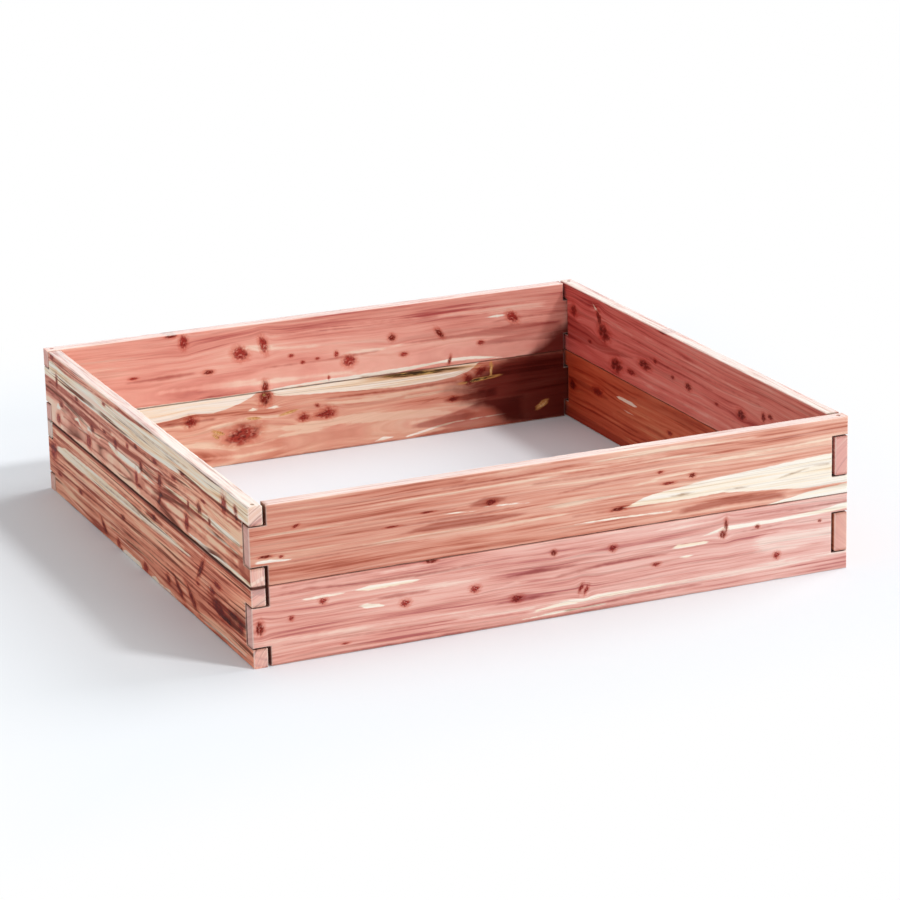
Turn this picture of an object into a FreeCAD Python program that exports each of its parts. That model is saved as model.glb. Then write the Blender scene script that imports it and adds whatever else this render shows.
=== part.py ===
import FreeCAD, Part

import math
import os

import Sketcher

# Raised garden bed: a square frame with no floor, made of eight identical cedar boards, two on each
# side. Each board has a tongue at one end and a fork at the other. At every corner the tongue of one
# side sits in the fork of the next, and a steel pin dropped through both of them is their hinge.
# Frame: origin at the centre of the footprint on the ground, X along the front, Y to the back, Z up.

# Sides in order round the frame, seen from above, each a quarter turn from the one before.
# Each corner has the number of the side whose tongue it holds.
SIDES = ["front", "right", "back", "left"]
CORNERS = ["front_left", "front_right", "back_right", "back_left"]
CORNER_SIGNS = [(-1, -1), (1, -1), (1, 1), (-1, 1)]
QUARTER_TURN = 90
TIERS = ["lower", "upper"]

# Driving sizes in millimetres: name, value and meaning.
DRIVING_SIZES = [
    ("board_length", "1219.2", "outer face to outer face of the frame, 4 ft"),
    ("board_height", "152.4", "one board, 6 in"),
    ("board_thickness", "28.575", "one board, 1 1/8 in"),
    ("tongue_height", "76.2", "tongue, at the middle of the board's height"),
    ("finger_clearance", "2.0", "air above and below a tongue in its fork"),
    ("shoulder_gap", "5.5", "air between a finger's side and the next board's shoulder"),
    ("arris_radius", "3.0", "rounding of the edges on both faces of a board"),
    ("pin_diameter", "7.94", "corner pin, 5/16 in rod"),
    ("bore_clearance", "0.1", "air round a pin, on the radius"),
    ("pin_recess", "4.0", "top of a pin below the rim"),
    ("pin_bevel", "0.8", "bevel on both ends of a pin"),
]

# Sizes that follow from the driving ones. A board's own X runs from its tongue's end along its
# outer face, its Y through the thickness, its Z up.
DERIVED_SIZES = [
    ("finger_length", "=board_thickness + shoulder_gap", "tongue, or depth of the fork"),
    ("fork_floor", "=board_length - finger_length", "floor of the fork, along X"),
    ("tongue_bottom", "=(board_height - tongue_height) / 2", "underside of the tongue"),
    ("tongue_top", "=(board_height + tongue_height) / 2", "top of the tongue"),
    ("fork_bottom", "=tongue_bottom - finger_clearance", "top of the lower finger"),
    ("fork_top", "=tongue_top + finger_clearance", "underside of the upper finger"),
    ("pin_inset", "=board_thickness / 2", "pin axis from both outer faces of a corner"),
    ("far_bore", "=board_length - pin_inset", "bore through the fork, along X"),
    ("pin_radius", "=pin_diameter / 2", "corner pin"),
    ("bore_radius", "=pin_radius + bore_clearance", "bore for a corner pin"),
    ("half_length", "=board_length / 2", "centre of the frame to an outer face"),
    ("pin_reach", "=half_length - pin_inset", "centre of the frame to a pin, along X and Y"),
    ("pin_length", f"={len(TIERS)} * board_height - pin_recess", "ground to the pin's top"),
]

# A board's outline, walked round its outer face: level edges lie at a height, upright ones at a
# distance along X, and None is the zero line.
BOARD_OUTLINE = [
    ("level", None),
    ("upright", "board_length"),
    ("level", "fork_bottom"),
    ("upright", "fork_floor"),
    ("level", "fork_top"),
    ("upright", "board_length"),
    ("level", "board_height"),
    ("upright", "finger_length"),
    ("level", "tongue_top"),
    ("upright", None),
    ("level", "tongue_bottom"),
    ("upright", "finger_length"),
]

FLAT = 1e-6  # an edge narrower than this lies in one plane
START_POINT = 1
CENTRE_POINT = 3
SKETCH_AXES = {"level": -1, "upright": -2}  # how constraints name a sketch's own two axes
ORIGIN = (SKETCH_AXES["level"], START_POINT)


def make_sheet(doc):
    """The spreadsheet of sizes, one to a row: name, value or formula, meaning."""
    sheet = doc.addObject("Spreadsheet::Sheet", "sizes")
    for row, (alias, content, meaning) in enumerate(DRIVING_SIZES + DERIVED_SIZES, start=1):
        sheet.set(f"A{row}", alias)
        sheet.set(f"B{row}", content)
        sheet.setAlias(f"B{row}", alias)
        sheet.set(f"C{row}", meaning)
    doc.recompute()
    return sheet


def add_sketch(body, name, role):
    """An empty sketch on one of the body's own origin planes, such as XY_Plane."""
    plane = next(item for item in body.Origin.OriginFeatures if item.Role == role)
    sketch = body.newObject("Sketcher::SketchObject", name)
    sketch.AttachmentSupport = [(plane, "")]
    sketch.MapMode = "FlatFace"
    return sketch


def drive(sketch, name, constraint, expression):
    """Adds a constraint with a size under a name of its own, and ties the size to an expression."""
    sketch.renameConstraint(sketch.addConstraint(constraint), name)
    sketch.setExpression(f"Constraints.{name}", expression)


def draw_board_outline(sketch, sheet):
    """Closes the board's outline from its level and upright edges, and ties each to its size."""
    places = [0.0 if alias is None else float(sheet.get(alias)) for _, alias in BOARD_OUTLINE]
    count = len(BOARD_OUTLINE)
    corners = []
    for index, (direction, _) in enumerate(BOARD_OUTLINE):
        here = places[index]
        before = places[index - 1]
        along, height = (before, here) if direction == "level" else (here, before)
        corners.append(FreeCAD.Vector(along, height, 0))
    for index in range(count):
        sketch.addGeometry(Part.LineSegment(corners[index], corners[(index + 1) % count]))
    for index, (direction, alias) in enumerate(BOARD_OUTLINE):
        level = direction == "level"
        after = (index + 1) % count
        sketch.addConstraint(Sketcher.Constraint("Coincident", index, 2, after, START_POINT))
        sketch.addConstraint(Sketcher.Constraint("Horizontal" if level else "Vertical", index))
        if alias is None:
            axis = SKETCH_AXES[direction]
            sketch.addConstraint(Sketcher.Constraint("PointOnObject", index, START_POINT, axis))
        else:
            distance = Sketcher.Constraint(
                "DistanceY" if level else "DistanceX",
                *ORIGIN, index, START_POINT, places[index],
            )
            drive(sketch, f"edge_{index}_{alias}", distance, f"sizes.{alias}")


def draw_bores(sketch, sheet):
    """The two pin bores as circles seen from below: one through the tongue, one through the fork."""
    inset = float(sheet.get("pin_inset"))
    radius = float(sheet.get("bore_radius"))
    for index, alias in enumerate(["pin_inset", "far_bore"]):
        along = float(sheet.get(alias))
        centre = FreeCAD.Vector(along, inset, 0)
        sketch.addGeometry(Part.Circle(centre, FreeCAD.Vector(0, 0, 1), radius))
        origin_to_centre = (*ORIGIN, index, CENTRE_POINT)
        distance = Sketcher.Constraint("DistanceX", *origin_to_centre, along)
        drive(sketch, f"bore_{index}_along", distance, f"sizes.{alias}")
        distance = Sketcher.Constraint("DistanceY", *origin_to_centre, inset)
        drive(sketch, f"bore_{index}_inset", distance, "sizes.pin_inset")
        drive(sketch, f"bore_{index}_radius", Sketcher.Constraint("Radius", index, radius),
              "sizes.bore_radius")


def face_edges(shape):
    """Names of the edges that bound a board's two broad faces, which face along Y."""
    edges = enumerate(shape.Edges, start=1)
    return [f"Edge{number}" for number, edge in edges if edge.BoundBox.YLength < FLAT]


def make_board(doc, sheet, name):
    """One board: planed blank with tongue and fork, eased arrises, then the two pin bores."""
    body = doc.addObject("PartDesign::Body", name)
    body.Label = name

    outline = add_sketch(body, f"{name}_outline", "XZ_Plane")
    draw_board_outline(outline, sheet)
    blank = body.newObject("PartDesign::Pad", f"{name}_blank")
    blank.Profile = outline
    blank.Reversed = True
    blank.setExpression("Length", "sizes.board_thickness")
    doc.recompute()

    eased = body.newObject("PartDesign::Fillet", f"{name}_eased")
    eased.Base = (blank, face_edges(blank.Shape))
    eased.setExpression("Radius", "sizes.arris_radius")
    doc.recompute()

    circles = add_sketch(body, f"{name}_bore_circles", "XY_Plane")
    draw_bores(circles, sheet)
    bores = body.newObject("PartDesign::Pocket", f"{name}_bores")
    bores.Profile = circles
    bores.Type = "ThroughAll"
    bores.Reversed = True
    body.Tip = bores
    doc.recompute()

    bored_height = 2 * float(sheet.get("fork_bottom")) + float(sheet.get("tongue_height"))
    expected = math.pi * float(sheet.get("bore_radius")) ** 2 * bored_height
    removed = eased.Shape.Volume - bores.Shape.Volume
    if not math.isclose(removed, expected, rel_tol=0.01):
        raise RuntimeError(f"{name}: the bores remove {removed:.0f} mm3, not {expected:.0f}")
    return body


def make_pin(doc, sheet, name):
    """One corner pin: a straight rod with both ends bevelled."""
    body = doc.addObject("PartDesign::Body", name)
    body.Label = name

    section = add_sketch(body, f"{name}_section", "XY_Plane")
    radius = float(sheet.get("pin_radius"))
    section.addGeometry(Part.Circle(FreeCAD.Vector(), FreeCAD.Vector(0, 0, 1), radius))
    centred = Sketcher.Constraint("Coincident", 0, CENTRE_POINT, *ORIGIN)
    section.addConstraint(centred)
    drive(section, "radius", Sketcher.Constraint("Radius", 0, radius), "sizes.pin_radius")
    rod = body.newObject("PartDesign::Pad", f"{name}_rod")
    rod.Profile = section
    rod.setExpression("Length", "sizes.pin_length")
    doc.recompute()

    rims = [number for number, edge in enumerate(rod.Shape.Edges, start=1)
            if edge.BoundBox.ZLength < FLAT]
    bevelled = body.newObject("PartDesign::Chamfer", f"{name}_bevelled")
    bevelled.Base = (rod, [f"Edge{number}" for number in rims])
    bevelled.setExpression("Size", "sizes.pin_bevel")
    body.Tip = bevelled
    doc.recompute()
    return body


def place(body, corner, reach, height, quarter_turns=0):
    """Puts a body at a corner of the frame, at a reach from the centre and at a height."""
    sign_x, sign_y = CORNER_SIGNS[corner]
    turn = FreeCAD.Rotation(FreeCAD.Vector(0, 0, 1), QUARTER_TURN * quarter_turns)
    body.Placement = FreeCAD.Placement(FreeCAD.Vector(), turn)
    body.setExpression("Placement.Base.x", f"{sign_x} * sizes.{reach}")
    body.setExpression("Placement.Base.y", f"{sign_y} * sizes.{reach}")
    body.setExpression("Placement.Base.z", height)


def check(doc, bodies):
    """Stops on a feature that failed or a sub-part that isn't one valid solid."""
    failed = [item.Name for item in doc.Objects if {"Invalid", "Error"} & set(item.State)]
    if failed:
        raise RuntimeError(f"features that failed: {failed}")
    for body in bodies:
        shape = body.Shape
        if shape.isNull() or not shape.isValid() or len(shape.Solids) != 1:
            raise RuntimeError(f"{body.Label} isn't one valid solid")


doc = FreeCAD.newDocument("raised_garden_bed")
sheet = make_sheet(doc)
bodies = []

for tier, tier_name in enumerate(TIERS):
    for side, side_name in enumerate(SIDES):
        board = make_board(doc, sheet, f"{side_name}_{tier_name}_board")
        place(board, side, "half_length", f"{tier} * sizes.board_height", quarter_turns=side)
        bodies.append(board)

for corner, corner_name in enumerate(CORNERS):
    pin = make_pin(doc, sheet, f"{corner_name}_pin")
    place(pin, corner, "pin_reach", "0")
    bodies.append(pin)

doc.recompute()
check(doc, bodies)

os.makedirs("parts", exist_ok=True)
for body in bodies:
    body.Shape.exportStep(f"parts/{body.Label}.step")
    box = body.Shape.BoundBox
    print(f"{body.Label}: {body.Shape.Volume / 1000:.1f} cm3, "
          f"X {box.XMin:.2f} to {box.XMax:.2f}, Y {box.YMin:.2f} to {box.YMax:.2f}, "
          f"Z {box.ZMin:.2f} to {box.ZMax:.2f}")
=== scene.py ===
# %% [markdown]
# # A raised garden bed of red cedar
# The bed is a square frame with no floor: eight boards in two tiers, laced together at the corners
# like fingers, with a steel pin dropped through each corner. The imported model gives every piece its
# place and size. This lesson gives the pieces their looks: eased and slightly warped boards, grain
# that flows round the knots, cream sapwood beside red heartwood, and zinc-coated pins.
#
# First comes the frame. Its box is kept.

# %% Load the frame
import math
from collections import namedtuple

import bpy
import numpy as np
from mathutils import Matrix, Vector


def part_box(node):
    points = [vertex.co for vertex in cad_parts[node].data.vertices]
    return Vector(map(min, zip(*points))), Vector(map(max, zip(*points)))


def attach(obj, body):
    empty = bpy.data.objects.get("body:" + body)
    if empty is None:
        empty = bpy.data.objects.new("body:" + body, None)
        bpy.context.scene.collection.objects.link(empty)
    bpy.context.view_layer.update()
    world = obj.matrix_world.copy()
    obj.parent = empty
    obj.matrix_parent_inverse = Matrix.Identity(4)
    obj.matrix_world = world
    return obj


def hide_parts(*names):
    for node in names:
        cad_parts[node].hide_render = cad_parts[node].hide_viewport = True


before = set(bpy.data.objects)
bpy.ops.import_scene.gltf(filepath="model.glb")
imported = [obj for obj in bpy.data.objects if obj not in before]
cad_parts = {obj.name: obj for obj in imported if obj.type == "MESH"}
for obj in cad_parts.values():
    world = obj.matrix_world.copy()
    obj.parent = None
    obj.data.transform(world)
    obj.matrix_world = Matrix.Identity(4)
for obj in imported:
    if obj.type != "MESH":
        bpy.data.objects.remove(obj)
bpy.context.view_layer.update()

# %% [markdown]
# ## Sizes
# A board is known by its box. The joint at its ends has sizes of its own, which are the builder's
# driving sizes in metres. Everything else about a board follows from these. A board is described
# lying in its own axes: along it from the end of its tongue, through it from the outer face, and up.

# %% Sizes of the boards and pins
MM = 0.001
TONGUE_HEIGHT = 76.2 * MM
FINGER_CLEARANCE = 2.0 * MM
SHOULDER_GAP = 5.5 * MM
ARRIS_RADIUS = 3.0 * MM
BORE_RADIUS = 4.07 * MM

board_low, board_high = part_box("front_lower_board")
BOARD_LENGTH, BOARD_THICKNESS, BOARD_HEIGHT = board_high - board_low
FINGER_LENGTH = BOARD_THICKNESS + SHOULDER_GAP
FORK_FLOOR = BOARD_LENGTH - FINGER_LENGTH
TONGUE_BOTTOM = (BOARD_HEIGHT - TONGUE_HEIGHT) / 2
TONGUE_TOP = TONGUE_BOTTOM + TONGUE_HEIGHT
PIN_INSET = BOARD_THICKNESS / 2
print("board:", [round(value / MM, 2) for value in (BOARD_LENGTH, BOARD_THICKNESS, BOARD_HEIGHT)])

# %% [markdown]
# ## The board as a fine grid
# A sawn board could be a box with a bevel, but then it would have nowhere to hold its own small
# faults. Here both broad faces are a grid of cells a few millimetres wide, cut to the outline with
# its tongue and fork, and a wall of narrow rows joins them round the edge. The first and last rows
# turn through a quarter circle, which is the eased arris.
#
# The grid stops short of the real outline by the arris radius. Each point of its rim knows which way
# is out, straight or at a corner's mitre, and the wall's rows step that way.

# %% Grid lines that pass through every corner of the outline
CELL_ALONG = 4.5 * MM
CELL_UP = 2.4 * MM
ARRIS_STEPS = 4
WALL_STEPS = 7


def stations(breaks, spacing):
    """Every break, with evenly spaced places between them."""
    places = [breaks[0]]
    for low, high in zip(breaks, breaks[1:]):
        steps = max(1, round((high - low) / spacing))
        places += [low + (high - low) * step / steps for step in range(1, steps + 1)]
    return np.array(places)


tongue_end = ARRIS_RADIUS
shoulder = FINGER_LENGTH + ARRIS_RADIUS
fork_floor = FORK_FLOOR - ARRIS_RADIUS
fork_end = BOARD_LENGTH - ARRIS_RADIUS
lower_finger_top = TONGUE_BOTTOM - FINGER_CLEARANCE - ARRIS_RADIUS
upper_finger_bottom = TONGUE_TOP + FINGER_CLEARANCE + ARRIS_RADIUS
tongue_low = TONGUE_BOTTOM + ARRIS_RADIUS
tongue_high = TONGUE_TOP - ARRIS_RADIUS

grid_along = stations([tongue_end, shoulder, fork_floor, fork_end], CELL_ALONG)
grid_up = stations([ARRIS_RADIUS, lower_finger_top, tongue_low, tongue_high,
                    upper_finger_bottom, BOARD_HEIGHT - ARRIS_RADIUS], CELL_UP)
print("grid:", len(grid_along), "by", len(grid_up))


# %% Cells that are wood, and the rim round them
def is_wood(along, up):
    """Whether the middle of a cell lies inside the board's outline."""
    if along < shoulder:
        return tongue_low < up < tongue_high
    if along > fork_floor:
        return up < lower_finger_top or up > upper_finger_bottom
    return True


def wood_cells():
    """The wooden cells, as pairs of grid numbers."""
    middles_along = (grid_along[1:] + grid_along[:-1]) / 2
    middles_up = (grid_up[1:] + grid_up[:-1]) / 2
    return {(i, j) for i, along in enumerate(middles_along)
            for j, up in enumerate(middles_up) if is_wood(along, up)}


def rim_edges(cells):
    """Edges between wood and air, each with the way out: start, end, (outward along, outward up)."""
    edges = []
    for i, j in cells:
        if (i, j - 1) not in cells:
            edges.append(((i, j), (i + 1, j), (0, -1)))
        if (i + 1, j) not in cells:
            edges.append(((i + 1, j), (i + 1, j + 1), (1, 0)))
        if (i, j + 1) not in cells:
            edges.append(((i + 1, j + 1), (i, j + 1), (0, 1)))
        if (i - 1, j) not in cells:
            edges.append(((i, j + 1), (i, j), (-1, 0)))
    return edges


# %% The blank: two faces and the wall between them
def wall_profile():
    """Steps from the outer face to the inner one: how far out, and how deep in the thickness."""
    turn = [math.pi / 2 * step / ARRIS_STEPS for step in range(ARRIS_STEPS + 1)]
    near = [(ARRIS_RADIUS * math.sin(angle), ARRIS_RADIUS * (1 - math.cos(angle))) for angle in turn]
    straight = np.linspace(ARRIS_RADIUS, BOARD_THICKNESS - ARRIS_RADIUS, WALL_STEPS + 1)[1:-1]
    far = [(out, BOARD_THICKNESS - depth) for out, depth in reversed(near)]
    return near + [(ARRIS_RADIUS, depth) for depth in straight] + far


def board_blank():
    """The board's mesh before its bores: every corner in its own axes."""
    cells = wood_cells()
    edges = rim_edges(cells)
    outward = {}
    for start, end, way in edges:
        for node in (start, end):
            total = outward.get(node, (0, 0))
            outward[node] = (total[0] + way[0], total[1] + way[1])

    points = []

    def add(node, out, depth):
        ways = outward.get(node, (0, 0))
        along = grid_along[node[0]] + out * max(-1, min(1, ways[0]))
        up = grid_up[node[1]] + out * max(-1, min(1, ways[1]))
        points.append((along, depth, up))
        return len(points) - 1

    profile = wall_profile()
    nodes = sorted({(i + a, j + b) for i, j in cells for a in (0, 1) for b in (0, 1)})
    outer = {node: add(node, 0, 0) for node in nodes}
    inner = {node: add(node, 0, BOARD_THICKNESS) for node in nodes}
    rows = {node: [outer[node]] + [add(node, *step) for step in profile[1:-1]] + [inner[node]]
            for node in outward}

    faces = []
    for i, j in cells:
        square = [(i, j), (i + 1, j), (i + 1, j + 1), (i, j + 1)]
        faces.append([outer[node] for node in square])
        faces.append([inner[node] for node in reversed(square)])
    for start, end, _ in edges:
        for row in range(len(profile) - 1):
            faces.append([rows[start][row], rows[start][row + 1], rows[end][row + 1], rows[end][row]])

    mesh = bpy.data.meshes.new("board_blank")
    mesh.from_pydata(points, [], faces)
    mesh.validate()
    return mesh


blank = board_blank()
print("blank:", len(blank.vertices), "points,", len(blank.polygons), "faces")

# %% [markdown]
# ## Writing node trees as arithmetic
# Both geometry and shader trees are graphs of small sums. Wiring each Math node by hand hides the
# sum, so one class wraps a socket and lets Python's own operators add the nodes. A second class holds
# the tree: it makes any node from its type, its settings and what goes into its sockets.


# %% A socket that arithmetic can be written on
class Term:
    """One output socket of a node tree. Sums with numbers or other terms add Math nodes."""

    def __init__(self, tree, socket):
        self.tree = tree
        self.socket = socket

    def math(self, operation, *values):
        return self.tree.math(operation, *values)

    def __add__(self, other):
        return self.math("ADD", self, other)

    def __sub__(self, other):
        return self.math("SUBTRACT", self, other)

    def __rsub__(self, other):
        return self.math("SUBTRACT", other, self)

    def __mul__(self, other):
        return self.math("MULTIPLY", self, other)

    def __truediv__(self, other):
        return self.math("DIVIDE", self, other)

    def __pow__(self, other):
        return self.math("POWER", self, other)

    __radd__ = __add__
    __rmul__ = __mul__

    def sine(self):
        return self.math("SINE", self)

    def size(self):
        return self.math("ABSOLUTE", self)

    def smaller(self, other):
        return self.math("MINIMUM", self, other)

    def clamp(self):
        return self.tree.node("ShaderNodeClamp", {}, {0: self})

    def step(self, low, high):
        """0 below low, 1 above high, and a smooth climb between them."""
        return self.tree.node("ShaderNodeMapRange", {"interpolation_type": "SMOOTHSTEP"},
                              {0: self, 1: low, 2: high})

    def parts(self):
        """The three numbers of a vector."""
        split = self.tree.node("ShaderNodeSeparateXYZ", {}, {0: self})
        return [Term(self.tree, socket) for socket in split.socket.node.outputs]


class Tree:
    """A node tree that is built one node at a time."""

    def __init__(self, tree):
        self.tree = tree

    def node(self, kind, settings=None, sockets=None, output=0):
        """Adds a node: its type, its settings, then a value or a term for each socket."""
        made = self.tree.nodes.new(kind)
        for name, value in (settings or {}).items():
            setattr(made, name, value)
        for key, value in (sockets or {}).items():
            if isinstance(value, Term):
                self.tree.links.new(value.socket, made.inputs[key])
            else:
                made.inputs[key].default_value = value
        return Term(self, made.outputs[output]) if made.outputs else made

    def math(self, operation, *values):
        return self.node("ShaderNodeMath", {"operation": operation}, dict(enumerate(values)))

    def vector(self, x, y, z):
        return self.node("ShaderNodeCombineXYZ", {}, {0: x, 1: y, 2: z})

    def noise(self, vector, detail=2.0, roughness=0.5):
        """Smooth noise about one half, one unit of the vector to a swell."""
        return self.node("ShaderNodeTexNoise", {"noise_dimensions": "3D"},
                         {"Vector": vector, "Scale": 1.0, "Detail": detail, "Roughness": roughness})


# %% [markdown]
# ## Boring and weathering a board
# What happens to every board in the same way is a rule, so Geometry Nodes do it. The tree drills the
# tongue and the fork for the pin: two points, a drill standing on each, and a Boolean. It notes where
# each point lay on the planed board. Then it bows the board slightly, lets its faces swell and sink
# by fractions of a millimetre, and knocks the long arrises back here and there. The ends stay true,
# for the pins to slide. The amounts and the seed are inputs, so eight boards from one tree differ.

# %% The tree that bores and weathers
DRILL_SIDES = 32
WEATHERING_INPUTS = [
    ("Bore Radius", "NodeSocketFloat"),
    ("Bore Inset", "NodeSocketFloat"),
    ("Board Length", "NodeSocketFloat"),
    ("Board Height", "NodeSocketFloat"),
    ("Board Thickness", "NodeSocketFloat"),
    ("Bow", "NodeSocketFloat"),
    ("Swell", "NodeSocketFloat"),
    ("Wear", "NodeSocketFloat"),
    ("Seed", "NodeSocketFloat"),
    ("Material", "NodeSocketMaterial"),
]
STIFF_END = 60 * MM
WORN_WIDTH = 3 * ARRIS_RADIUS
# How many swells and chips come to a metre, and the noise at which a chip begins and is full.
SWELLS_ALONG, SWELLS_THROUGH, SWELLS_UP = 6, 20, 25
CHIPS_ALONG, CHIPS_THROUGH = 22, 60
CHIP_STEP = (0.46, 0.72)


def new_geometry_tree(name, inputs):
    """An empty geometry tree with named inputs, and a term for each of them."""
    group = bpy.data.node_groups.new(name, "GeometryNodeTree")
    group.interface.new_socket("Geometry", in_out="INPUT", socket_type="NodeSocketGeometry")
    group.interface.new_socket("Geometry", in_out="OUTPUT", socket_type="NodeSocketGeometry")
    for label, kind in inputs:
        group.interface.new_socket(label, in_out="INPUT", socket_type=kind)
    tree = Tree(group)
    entry = group.nodes.new("NodeGroupInput")
    return tree, {socket.name: Term(tree, socket) for socket in entry.outputs if socket.name}


def close_geometry_tree(tree, geometry, material):
    """Ends a geometry tree with plain faces that carry the material."""
    plain = tree.node("GeometryNodeRealizeInstances", {}, {0: geometry})
    painted = tree.node("GeometryNodeSetMaterial", {}, {"Geometry": plain, "Material": material})
    tree.node("NodeGroupOutput", {}, {0: painted})
    return tree.tree


def weathering_tree():
    """Bores a blank, notes where its points lay, and then bows, swells and wears it."""
    tree, given = new_geometry_tree("bore_and_weather", WEATHERING_INPUTS)
    inset = given["Bore Inset"]
    height = given["Board Height"]
    near = tree.vector(inset, inset, height / 2)
    far = tree.vector(given["Board Length"] - inset, inset, height / 2)
    places = tree.node("GeometryNodeMeshLine", {"mode": "END_POINTS"},
                       {"Count": 2, "Start Location": near, "Offset": far})
    drill = tree.node("GeometryNodeMeshCylinder", {},
                      {"Vertices": DRILL_SIDES, "Radius": given["Bore Radius"], "Depth": height * 2})
    drills = tree.node("GeometryNodeInstanceOnPoints", {}, {"Points": places, "Instance": drill})
    bored = tree.node("GeometryNodeMeshBoolean", {"operation": "DIFFERENCE", "solver": "EXACT"},
                      {0: given["Geometry"], 1: tree.node("GeometryNodeRealizeInstances", {}, {0: drills})})

    place = tree.node("GeometryNodeInputPosition")
    noted = tree.node("GeometryNodeStoreNamedAttribute", {"data_type": "FLOAT_VECTOR"},
                      {"Geometry": bored, "Name": "planed", "Value": place})
    along, depth, up = place.parts()
    to_end = along.smaller(given["Board Length"] - along)
    to_edge = up.smaller(height - up) + depth.smaller(given["Board Thickness"] - depth)
    free = to_end.step(FINGER_LENGTH, FINGER_LENGTH + STIFF_END)
    bow = (along / given["Board Length"] * math.pi).sine() * given["Bow"]
    swell_at = tree.vector(along * SWELLS_ALONG, depth * SWELLS_THROUGH + given["Seed"], up * SWELLS_UP)
    swell = (tree.noise(swell_at, detail=3) - 0.5) * given["Swell"]
    chips_at = tree.vector(along * CHIPS_ALONG, depth * CHIPS_THROUGH, given["Seed"])
    chips = tree.noise(chips_at, detail=3).step(*CHIP_STEP)
    wear = (1 - to_edge.step(0, WORN_WIDTH)) * chips * given["Wear"]
    normal = tree.node("GeometryNodeInputNormal")
    outward = tree.node("ShaderNodeVectorMath", {"operation": "SCALE"},
                        {0: normal, "Scale": (swell - wear) * free})
    shift = tree.node("ShaderNodeVectorMath", {"operation": "ADD"},
                      {0: outward, 1: tree.vector(0, bow, 0)})
    moved = tree.node("GeometryNodeSetPosition", {}, {"Geometry": noted, "Offset": shift})
    return close_geometry_tree(tree, moved, given["Material"])


def run_tree(name, mesh, group, values):
    """Runs a geometry tree on a mesh with named values and returns the plain mesh that it makes."""
    carrier = bpy.data.objects.new(name, mesh)
    bpy.context.scene.collection.objects.link(carrier)
    modifier = carrier.modifiers.new("tree", "NODES")
    modifier.node_group = group
    for socket in group.interface.items_tree:
        if socket.in_out == "INPUT" and socket.name in values:
            modifier[socket.identifier] = values[socket.name]
    evaluated = carrier.evaluated_get(bpy.context.evaluated_depsgraph_get())
    made = bpy.data.meshes.new_from_object(evaluated)
    bpy.data.objects.remove(carrier)
    made.name = name
    # A Boolean leaves an empty slot for its cutter, so the slots are written anew.
    made.materials.clear()
    made.materials.append(values["Material"])
    return made


bore_and_weather = weathering_tree()
print("tree:", bore_and_weather.name, len(bore_and_weather.nodes), "nodes")

# %% [markdown]
# ## What grew in each board
# A board is told by its knots and by where sapwood and stains run. These are read from the real
# object's faces in millimetres: along from the tongue's end and up from the lower edge, on the face
# that is seen. A knot is an ellipse: place, half sizes, tilt and kind. A band is a strip along the
# board: at a few places on its way, its lower and upper edge.

# %% Words for knots, bands and boards
TIGHT, DEAD, BARK, SCAR = 0, 1, 2, 3
Knot = namedtuple("Knot", "along up half_long half_high tilt kind", defaults=(0, TIGHT))
OUTER, INNER = 0.0, 1.0

# Where a board stands and how it bows, its pith as depth and height, its heartwood, and its tint at
# either end, which holds painted light and shade on the seen face too. Contrast, splits and flow say
# how strong the streaks are, how rough the fibres and how far a knot pushes the grain. Slope leans the
# bands through the thickness and seam is the width of painted shade along its seam.
FIELDS = "wall quarter_turns seen seed bow pith heart tints contrast splits slope seam flow"
BANDS = ("sapwood", "stains", "pale", "deep")
Board = namedtuple("Board", (*FIELDS.split(), "knots", *BANDS), defaults=((),))

# Heartwood from its darkest streak to its palest, as linear colours.
ORANGE_HEART = [
    (0.50, 0.15, 0.09), (0.74, 0.32, 0.21), (0.84, 0.44, 0.31), (0.89, 0.53, 0.37), (0.96, 0.72, 0.52),
]
PINK_HEART = [
    (0.52, 0.17, 0.16), (0.77, 0.37, 0.31), (0.88, 0.50, 0.43), (0.92, 0.59, 0.51), (0.97, 0.74, 0.64),
]
BROWN_HEART = [
    (0.36, 0.10, 0.07), (0.62, 0.27, 0.19), (0.78, 0.40, 0.29), (0.86, 0.52, 0.38), (0.94, 0.70, 0.53),
]
ROSE_HEART = [
    (0.46, 0.09, 0.08), (0.74, 0.27, 0.21), (0.86, 0.38, 0.30), (0.90, 0.47, 0.37), (0.95, 0.66, 0.53),
]

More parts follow.
